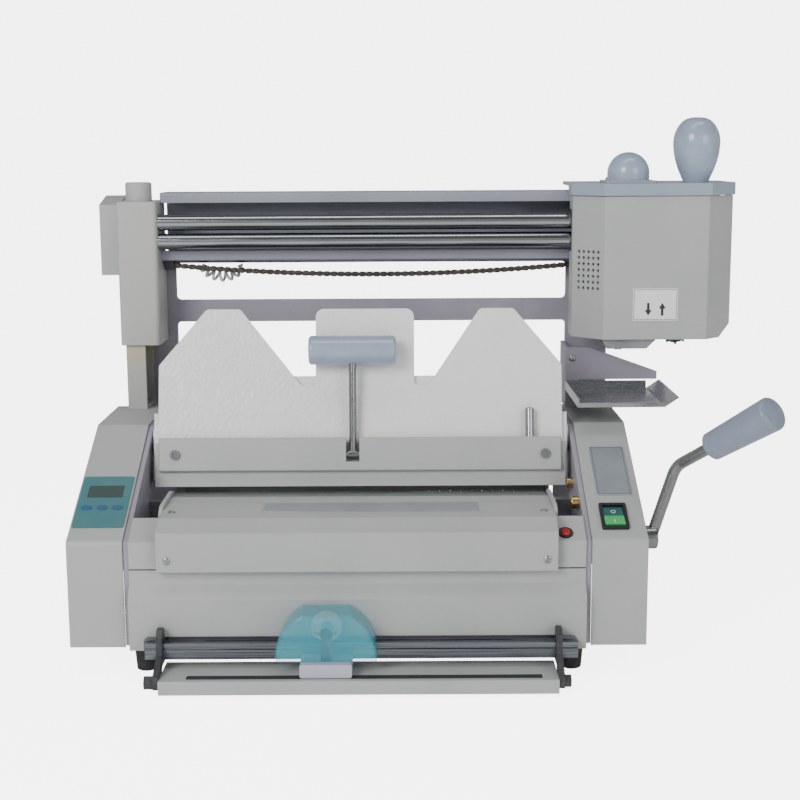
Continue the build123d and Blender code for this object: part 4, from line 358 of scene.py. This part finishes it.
turned_brass = brushed("turned_brass", paint(198, 168, 112), 0.25, (1, 40, 40))
dress(turned_brass, "table_stops")

# Pan head screws with a cross recess hold the console cover and the tray's bracket. They are zinc
# plated steel, with faint darker patches of dirt here and there.


def shell(rings):
    """Faces over rings of points, ring by ring and point by point, closed at both ends by a fan to each
    end's middle. They are turned to face outward by the sign of the volume that they enclose."""
    count, size = rings.shape[:2]
    ends = np.stack([rings[0].mean(0), rings[-1].mean(0)])
    points = np.concatenate([rings.reshape(-1, 3), ends])
    step = np.arange(size)
    after = (step + 1) % size
    rows = (np.arange(count - 1) * size)[:, None]
    sides = np.stack([rows + step, rows + after, rows + size + after, rows + size + step], 2).reshape(-1, 4)
    halves = np.concatenate([sides[:, [0, 1, 2]], sides[:, [0, 2, 3]]])
    first = np.stack([after, step, np.full(size, count * size)], 1)
    last_row = (count - 1) * size
    last = np.stack([last_row + step, last_row + after, np.full(size, count * size + 1)], 1)
    faces = np.concatenate([halves, first, last])
    a, b, c = (points[faces[:, corner]] for corner in range(3))
    if np.einsum("ij,ij->i", a, np.cross(b, c)).sum() < 0:
        faces = faces[:, ::-1]
    return points, faces


def piece(name, shells, finish, body):
    """One object from closed shells, riding on a CAD body, with one material slot holding its finish. Edges
    sharper than 35 degrees stay sharp in its shading."""
    points = np.concatenate([shell_points for shell_points, _ in shells])
    starts = np.cumsum([0] + [len(shell_points) for shell_points, _ in shells[:-1]])
    faces = np.concatenate([shell_faces + start for (_, shell_faces), start in zip(shells, starts)])
    mesh = bpy.data.meshes.new(name)
    mesh.from_pydata(points.tolist(), [], faces.tolist())
    mesh.update()
    mesh.shade_smooth()
    mesh.set_sharp_from_angle(angle=math.radians(35))
    mesh.materials.append(finish)
    made = bpy.data.objects.new(name, mesh)
    bpy.context.scene.collection.objects.link(made)
    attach(made, body)
    return made


def placed(local, origin, right, up):
    """Points across, up and out from a face, put at origin on the face's own right and up directions."""
    right = np.array(right, float)
    up = np.array(up, float)
    out = np.cross(right, up)
    return np.array(origin, float) + local @ np.stack([right, up, out])


def screw_head(origin, right, up, turn):
    """A pan head on a grid of angle and share of the radius. Its height is a low dome, which falls with
    the fourth power of the share, less a cross-shaped dip that fades towards the rim and beside each arm."""
    radius, rise, seat = 0.0028, 0.0014, 0.0002
    arm_half, arm_side, arm_depth = 0.00042, 0.00016, 0.0008
    arm_end, arm_fade = 0.7, 0.12
    angles = np.linspace(0, 2 * np.pi, 64, endpoint=False)
    shares = np.linspace(1, 0.06, 22)[:, None]
    x = shares * np.cos(angles) * radius
    y = shares * np.sin(angles) * radius
    crossed = np.stack([x * np.cos(turn) + y * np.sin(turn), y * np.cos(turn) - x * np.sin(turn)])
    beside = np.minimum(abs(crossed[0]), abs(crossed[1]))
    dip = np.clip((arm_half - beside) / arm_side, 0, 1) * np.clip((arm_end - shares) / arm_fade, 0, 1)
    dome = np.stack([x, y, rise * (1 - 0.45 * shares**4) - arm_depth * dip], 2)
    base = np.stack([x[0], y[0], np.full_like(angles, -seat)], 1)
    return shell(placed(np.concatenate([base[None], dome]), origin, right, up))


zinc = new_finish("zinc_plate", paint(168, 170, 172), 0.3, 1.0)
tint(zinc, grain(zinc, 0.0015, 4.0), 0.45, 0.75, paint(120, 118, 112), 0.6)
rightward, upward, backward = (1, 0, 0), (0, 0, 1), (0, 1, 0)
console_low, console_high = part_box("console_cover")
console_x = (console_low.x + console_high.x) / 2
console_screw_out = 0.144
console_screw_up = 0.009
console_screw_back = 0.033
screw_heads = []
for side in (-1, 1):
    x = console_x + side * console_screw_out
    front_place = (x, console_low.y, console_low.z + console_screw_up)
    top_place = (x, console_low.y + console_screw_back, console_high.z)
    screw_heads.append(screw_head(front_place, rightward, upward, 0.3 + side * 0.25))
    screw_heads.append(screw_head(top_place, rightward, backward, 0.9 - side * 0.2))
bracket_low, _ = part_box("tray_bracket")
for bracket_screw_up in (0.010, 0.044):
    place = (bracket_low.x + 0.006, bracket_low.y, bracket_low.z + bracket_screw_up)
    screw_heads.append(screw_head(place, rightward, upward, 0.6))
cover_screw_heads = piece("cover_screw_heads", screw_heads, zinc, "machine")
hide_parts("cover_screws")

# Two plates of thin aluminium with a satin silver-grey film are glued on, one on the right cover's
# slope and one along the console. The one on the slope has a fine dark line near its edge.


def rounded_outline(width, height, corner):
    """Points round a rectangle with its middle at zero: each corner is a quarter circle about a point
    that lies in from both sides by the corner's radius."""
    quarter = np.linspace(0, np.pi / 2, 6)
    points = []
    for turn, (side_x, side_y) in enumerate(((1, 1), (-1, 1), (-1, -1), (1, -1))):
        bend = quarter + turn * np.pi / 2
        x = side_x * (width / 2 - corner) + corner * np.cos(bend)
        y = side_y * (height / 2 - corner) + corner * np.sin(bend)
        points.append(np.stack([x, y], 1))
    return np.concatenate(points)


def plate(origin, right, up, width, height, corner, thickness, bevel=0.00025):
    """A thin rounded plate lying on a face and let 0.1 mm into it, with its upper edge rounded off by the
    bevel. The last ring lies in the top face, so that the face stays flat in its shading."""
    levels = [
        (0, -0.0001),
        (0, thickness - bevel),
        (bevel * 0.3, thickness - bevel * 0.3),
        (bevel, thickness),
        (bevel * 1.8, thickness),
    ]
    least_corner = 0.00002
    rings = []
    for inset, level in levels:
        edge = rounded_outline(width - 2 * inset, height - 2 * inset, max(corner - inset, least_corner))
        rings.append(np.column_stack([edge, np.full(len(edge), level)]))
    return shell(placed(np.stack(rings), origin, right, up))


cover_low, cover_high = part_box("right_side_cover")
slope_rise, slope_run = 0.066, 0.134
slope = math.atan2(slope_rise, slope_run)
slope_up = (0, math.cos(slope), math.sin(slope))
bend_y, bend_z = cover_low.y, cover_high.z - slope_rise


def on_slope(cover_x, up_slope):
    """The point of a side cover's slope that lies up_slope metres above its lower bend."""
    return (cover_x, bend_y + up_slope * slope_up[1], bend_z + up_slope * slope_up[2])


def frame_strips(origin, right, up, width, height, rise):
    """Four thin strips round a rectangle, each a plate of its own, side by side and then end to end."""
    line = 0.0004
    corner, bevel = line * 0.3, line * 0.2
    shells = []
    for side in (-1, 1):
        across = np.array(origin) + side * np.array(right) * width / 2
        along_up = np.array(origin) + side * np.array(up) * height / 2
        shells.append(plate(across, right, up, line, height + line, corner, rise, bevel))
        shells.append(plate(along_up, right, up, width - line, line, corner, rise, bevel))
    return shells


silver_film = new_finish("silver_film", paint(150, 156, 164), 0.3, 0.4)
tint(silver_film, grain(silver_film, 0.02, 3.0), 0.4, 0.75, paint(168, 174, 180), 0.5)
frame_line = new_finish("frame_line", paint(78, 84, 96), 0.4)
plate_width, plate_height = 0.028, 0.062
line_inset = 0.0015
plate_place = on_slope(cover_low.x + 0.0233, 0.084)
side_plate = [plate(plate_place, rightward, slope_up, plate_width, plate_height, 0.002, 0.0007)]
piece("right_nameplate", side_plate, silver_film, "machine")
strip_place = (-0.035, console_low.y + 0.046, console_high.z)
console_plate = [plate(strip_place, rightward, backward, 0.168, 0.028, 0.0015, 0.0006)]
piece("console_nameplate", console_plate, silver_film, "machine")
line_width, line_height = plate_width - 2 * line_inset, plate_height - 2 * line_inset
side_frame = frame_strips(plate_place, rightward, slope_up, line_width, line_height, 0.0008)
piece("right_nameplate_line", side_frame, frame_line, "machine")

# A white paper label is stuck on the head's front. It is printed with a fine frame line and two dark
# arrows, one down and one up.


def arrow(origin, right, up, length, width, rise):
    """A flat arrow pointing along up: an outline of seven points, carried straight out by rise."""
    half = length / 2
    neck = half - width * 0.8
    stem = width * 0.2
    x = np.array([0, -width / 2, -stem, -stem, stem, stem, width / 2])
    y = np.array([half, neck, neck, -half, -half, neck, neck])
    low = np.column_stack([x, y, np.full(len(x), -0.00005)])
    high = np.column_stack([x, y, np.full(len(x), rise)])
    return shell(placed(np.stack([low, high]), origin, right, up))


label_paper = new_finish("label_paper", paint(232, 233, 233), 0.5)
tint(label_paper, grain(label_paper, 0.01, 3.0), 0.4, 0.75, paint(222, 224, 226), 0.6)
printed_dark = new_finish("printed_dark", paint(48, 48, 52), 0.5)
head_low, head_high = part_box("head_shell")
label_width, label_height, label_thickness = 0.0383, 0.0276, 0.0003
label_place = np.array((head_high.x - 0.06925, head_low.y, head_low.z + 0.0302))
label_shells = [
    plate(label_place, rightward, upward, label_width, label_height, 0.0006, label_thickness, 0.0001)
]
piece("head_label", label_shells, label_paper, "head")
arrow_out, arrow_down = 0.006, 0.004
arrow_length, arrow_width, arrow_rise = 0.011, 0.0056, 0.0001
arrow_shells = []
for side in (-1, 1):
    place = label_place + np.array((side * arrow_out, -label_thickness, -arrow_down))
    arrow_shells.append(arrow(place, (side, 0, 0), (0, 0, side), arrow_length, arrow_width, arrow_rise))
piece("head_label_arrows", arrow_shells, printed_dark, "head")
line_width, line_height = label_width - 0.002, label_height - 0.002
label_line = frame_strips(label_place, rightward, upward, line_width, line_height, 0.0004)
piece("head_label_line", label_line, printed_dark, "head")

# A long black rubber strip is let into the platform's top, close to its front edge, where the cover
# sheet is pressed down to crease it.

platform_low, platform_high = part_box("crease_platform")
strip_x = (platform_low.x + platform_high.x) / 2 + 0.004
strip_place = (strip_x, platform_low.y + 0.0085, platform_high.z)
strip_rubber = new_finish("strip_rubber", paint(46, 47, 50), 0.6)
emboss(strip_rubber, grain(strip_rubber, 0.0008), 0.00003)
strip = [plate(strip_place, rightward, backward, 0.265, 0.007, 0.001, 0.0004)]
piece("platform_strip", strip, strip_rubber, "machine")

# Inside the slider's guard a short strip of red film is glued to the wall, and marks where the wheel
# touches the sheet.

guard_low, guard_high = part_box("slider_guard")
mark_place = ((guard_low.x + guard_high.x) / 2, guard_low.y + 0.0035, guard_low.z + 0.021)
mark_red = new_finish("mark_red", paint(176, 66, 62), 0.4)
mark = [plate(mark_place, rightward, upward, 0.016, 0.0028, 0.0006, 0.0006)]
piece("guard_mark", mark, mark_red, "slider")

# The rocker carries a short bar on its green half and a ring on its dark half. Both are pad printed in
# white on the moulding.


def flat_ring(origin, right, up, radius, width, rise):
    """A flat ring: a rectangle of the width and rise carried round a circle of the radius, with its faces
    between each corner's circle and the next one's."""
    steps = 40
    turn = np.linspace(0, 2 * np.pi, steps, endpoint=False)
    inner, outer, sunk = radius - width / 2, radius + width / 2, -0.0001
    circles = [
        np.column_stack([reach * np.cos(turn), reach * np.sin(turn), np.full(steps, level)])
        for reach, level in ((inner, sunk), (outer, sunk), (outer, rise), (inner, rise))
    ]
    here = np.arange(4 * steps).reshape(4, steps)
    after = np.roll(here, -1, axis=1)
    across, across_after = np.roll(here, -1, axis=0), np.roll(after, -1, axis=0)
    halves = np.stack([here, after, across_after, here, across_after, across], 2)
    return placed(np.concatenate(circles), origin, right, up), halves.reshape(-1, 3)


slope_out = Vector(rightward).cross(Vector(slope_up))


def on_rocker(up_face):
    """The place where the rocker's face lies, up_face metres up the slope from its middle, and the
    direction that runs up the face there."""
    start = rocker_middle + up_face * Vector(slope_up) + 0.03 * slope_out
    _, place, normal, _ = nodes["switch_rocker"].ray_cast(start, -slope_out)
    return tuple(place), tuple(normal.cross(Vector(rightward)))


printed_white = new_finish("printed_white", paint(228, 232, 230), 0.45)
mark_up_rocker = 0.006
mark_rise = 0.00015
ring_place, ring_up = on_rocker(mark_up_rocker)
ring_shell = [flat_ring(ring_place, rightward, ring_up, 0.0017, 0.0004, mark_rise)]
piece("rocker_ring", ring_shell, printed_white, "rocker")
bar_place, bar_up = on_rocker(-mark_up_rocker)
bar_shell = [plate(bar_place, rightward, bar_up, 0.0005, 0.0036, 0.0002, mark_rise, 0.00005)]
piece("rocker_bar", bar_shell, printed_white, "rocker")

# The curly cord is a coiled cable in a whitish plastic sheath. It hangs in a shallow bow from two
# glands under the rod channel, and its curls close up towards both ends.

cord_curls = 8
cord_coil_radius = 0.0036
cord_radius = 0.0014
cord_half_span, cord_dip = 0.017, 0.011
cord_x, cord_y, cord_top_z = -0.172, 0.138, 0.2985
cord_turns = np.linspace(0, cord_curls, 24 * cord_curls + 1)
sweep = np.pi * (1 + cord_turns / cord_curls)
outward = np.stack([np.cos(sweep), np.zeros_like(sweep), np.sin(sweep)], 1)
cord_middle = np.array((cord_x, cord_y, cord_top_z)) + outward * (cord_half_span, 0, cord_dip)
cord_reach = cord_coil_radius * np.minimum(1, np.minimum(cord_turns, cord_curls - cord_turns))
cord_points = cord_middle + (cord_reach * np.cos(2 * np.pi * cord_turns))[:, None] * outward
cord_points[:, 1] += cord_reach * np.sin(2 * np.pi * cord_turns)
cord_data = bpy.data.curves.new("curly_cord_sheath", "CURVE")
cord_data.dimensions = "3D"
cord_data.bevel_depth = cord_radius
cord_data.bevel_resolution = 3
cord_data.resolution_u = 2
cord_data.use_fill_caps = True
cord_line = cord_data.splines.new("NURBS")
cord_line.points.add(len(cord_points) - 1)
cord_line.points.foreach_set("co", np.column_stack([cord_points, np.ones(len(cord_points))]).ravel())
cord_line.order_u = 3
cord_line.use_endpoint_u = True
cord_sheath = bpy.data.objects.new("curly_cord_sheath", cord_data)
bpy.context.scene.collection.objects.link(cord_sheath)
cord_plastic = new_finish("cord_plastic", paint(222, 222, 228), 0.4)
tint(cord_plastic, grain(cord_plastic, 0.004, 3.0), 0.45, 0.75, paint(196, 196, 204), 0.5)
cord_data.materials.append(cord_plastic)
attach(cord_sheath, "machine")
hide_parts("curly_cord")

# The machine stands on a seamless sweep of pale paper, flat on the floor and rising all round. The paper
# glows a little, and more as seen by the camera, so that it comes out white.

floor_radius, rim_height = 3.0, 2.5
bend = np.linspace(0, np.pi / 2, 13)
paper_radii = np.concatenate([[0.0, 0.3, 0.8, 1.6], floor_radius + rim_height * np.sin(bend)])
paper_heights = np.concatenate([[0.0, 0.0, 0.0, 0.0], rim_height * (1 - np.cos(bend))])
turn = np.linspace(0, 2 * np.pi, 96, endpoint=False)
round_x = paper_radii[:, None] * np.cos(turn)
round_y = paper_radii[:, None] * np.sin(turn)
paper_points = np.stack([round_x, round_y, np.repeat(paper_heights[:, None], len(turn), axis=1)], 2)
here = np.arange(paper_points[..., 0].size).reshape(paper_points.shape[:2])
after = np.roll(here, -1, axis=1)
paper_faces = np.stack([here[:-1], here[1:], after[1:], after[:-1]], 2).reshape(-1, 4)
paper_mesh = bpy.data.meshes.new("studio_paper")
paper_mesh.from_pydata(paper_points.reshape(-1, 3).tolist(), [], paper_faces.tolist())
paper_mesh.update()
paper_mesh.shade_smooth()
studio_paper = bpy.data.objects.new("studio_paper", paper_mesh)
bpy.context.scene.collection.objects.link(studio_paper)
paper_finish = new_finish("studio_paper", (0.9, 0.9, 0.9), 0.9)
paper_shader = paper_finish.node_tree.nodes["Principled BSDF"]
paper_shader.inputs["Emission Color"].default_value = (1.0, 1.0, 1.0, 1.0)
seen_by = paper_finish.node_tree.nodes.new("ShaderNodeLightPath")
glow_for_light, glow_for_camera = 0.25, 5.0
paper_glow = spread(paper_finish, seen_by.outputs["Is Camera Ray"], 0, 1, glow_for_light, glow_for_camera)
paper_finish.node_tree.links.new(paper_glow, paper_shader.inputs["Emission Strength"])
paper_mesh.materials.append(paper_finish)

# The light is a dim white room and three soft lights: a strong one from the front left, a narrow one
# from above and a weak one from the front right.

room = bpy.data.worlds.new("studio_sky")
room.use_nodes = True
room.node_tree.nodes["Background"].inputs["Color"].default_value = (1.0, 1.0, 1.0, 1.0)
room.node_tree.nodes["Background"].inputs["Strength"].default_value = 0.22
bpy.context.scene.world = room


def soft_light(name, place, width, height, power):
    """A large area light at a place, turned to face the machine's middle."""
    aim = Vector((0, 0, 0.2))
    data = bpy.data.lights.new(name, "AREA")
    data.shape = "RECTANGLE"
    data.size = width
    data.size_y = height
    data.energy = power
    light = bpy.data.objects.new(name, data)
    light.location = place
    light.rotation_euler = (aim - Vector(place)).to_track_quat("-Z", "Y").to_euler()
    bpy.context.scene.collection.objects.link(light)


soft_light("key_light", (-1.0, -1.5, 1.1), 0.8, 0.8, 27)
soft_light("top_light", (0.1, -0.3, 1.9), 1.6, 0.4, 8)
soft_light("fill_light", (1.2, -1.5, 0.8), 0.9, 0.9, 9)

# The camera stands where the photograph was taken: near the machine's middle, 1.18 m in front, and 40 cm
# up, tipped down by about ten degrees and hardly turned.

lens = bpy.data.cameras.new("camera")
lens.lens = 65.25
lens.sensor_width = 36.0
camera = bpy.data.objects.new("camera", lens)
camera.location = (-0.0109, -1.176, 0.400)
tip_down, roll = 9.8, 0.3
camera.rotation_euler = Euler((math.radians(90 - tip_down), math.radians(roll), 0.0))
bpy.context.scene.collection.objects.link(camera)
bpy.context.scene.camera = camera
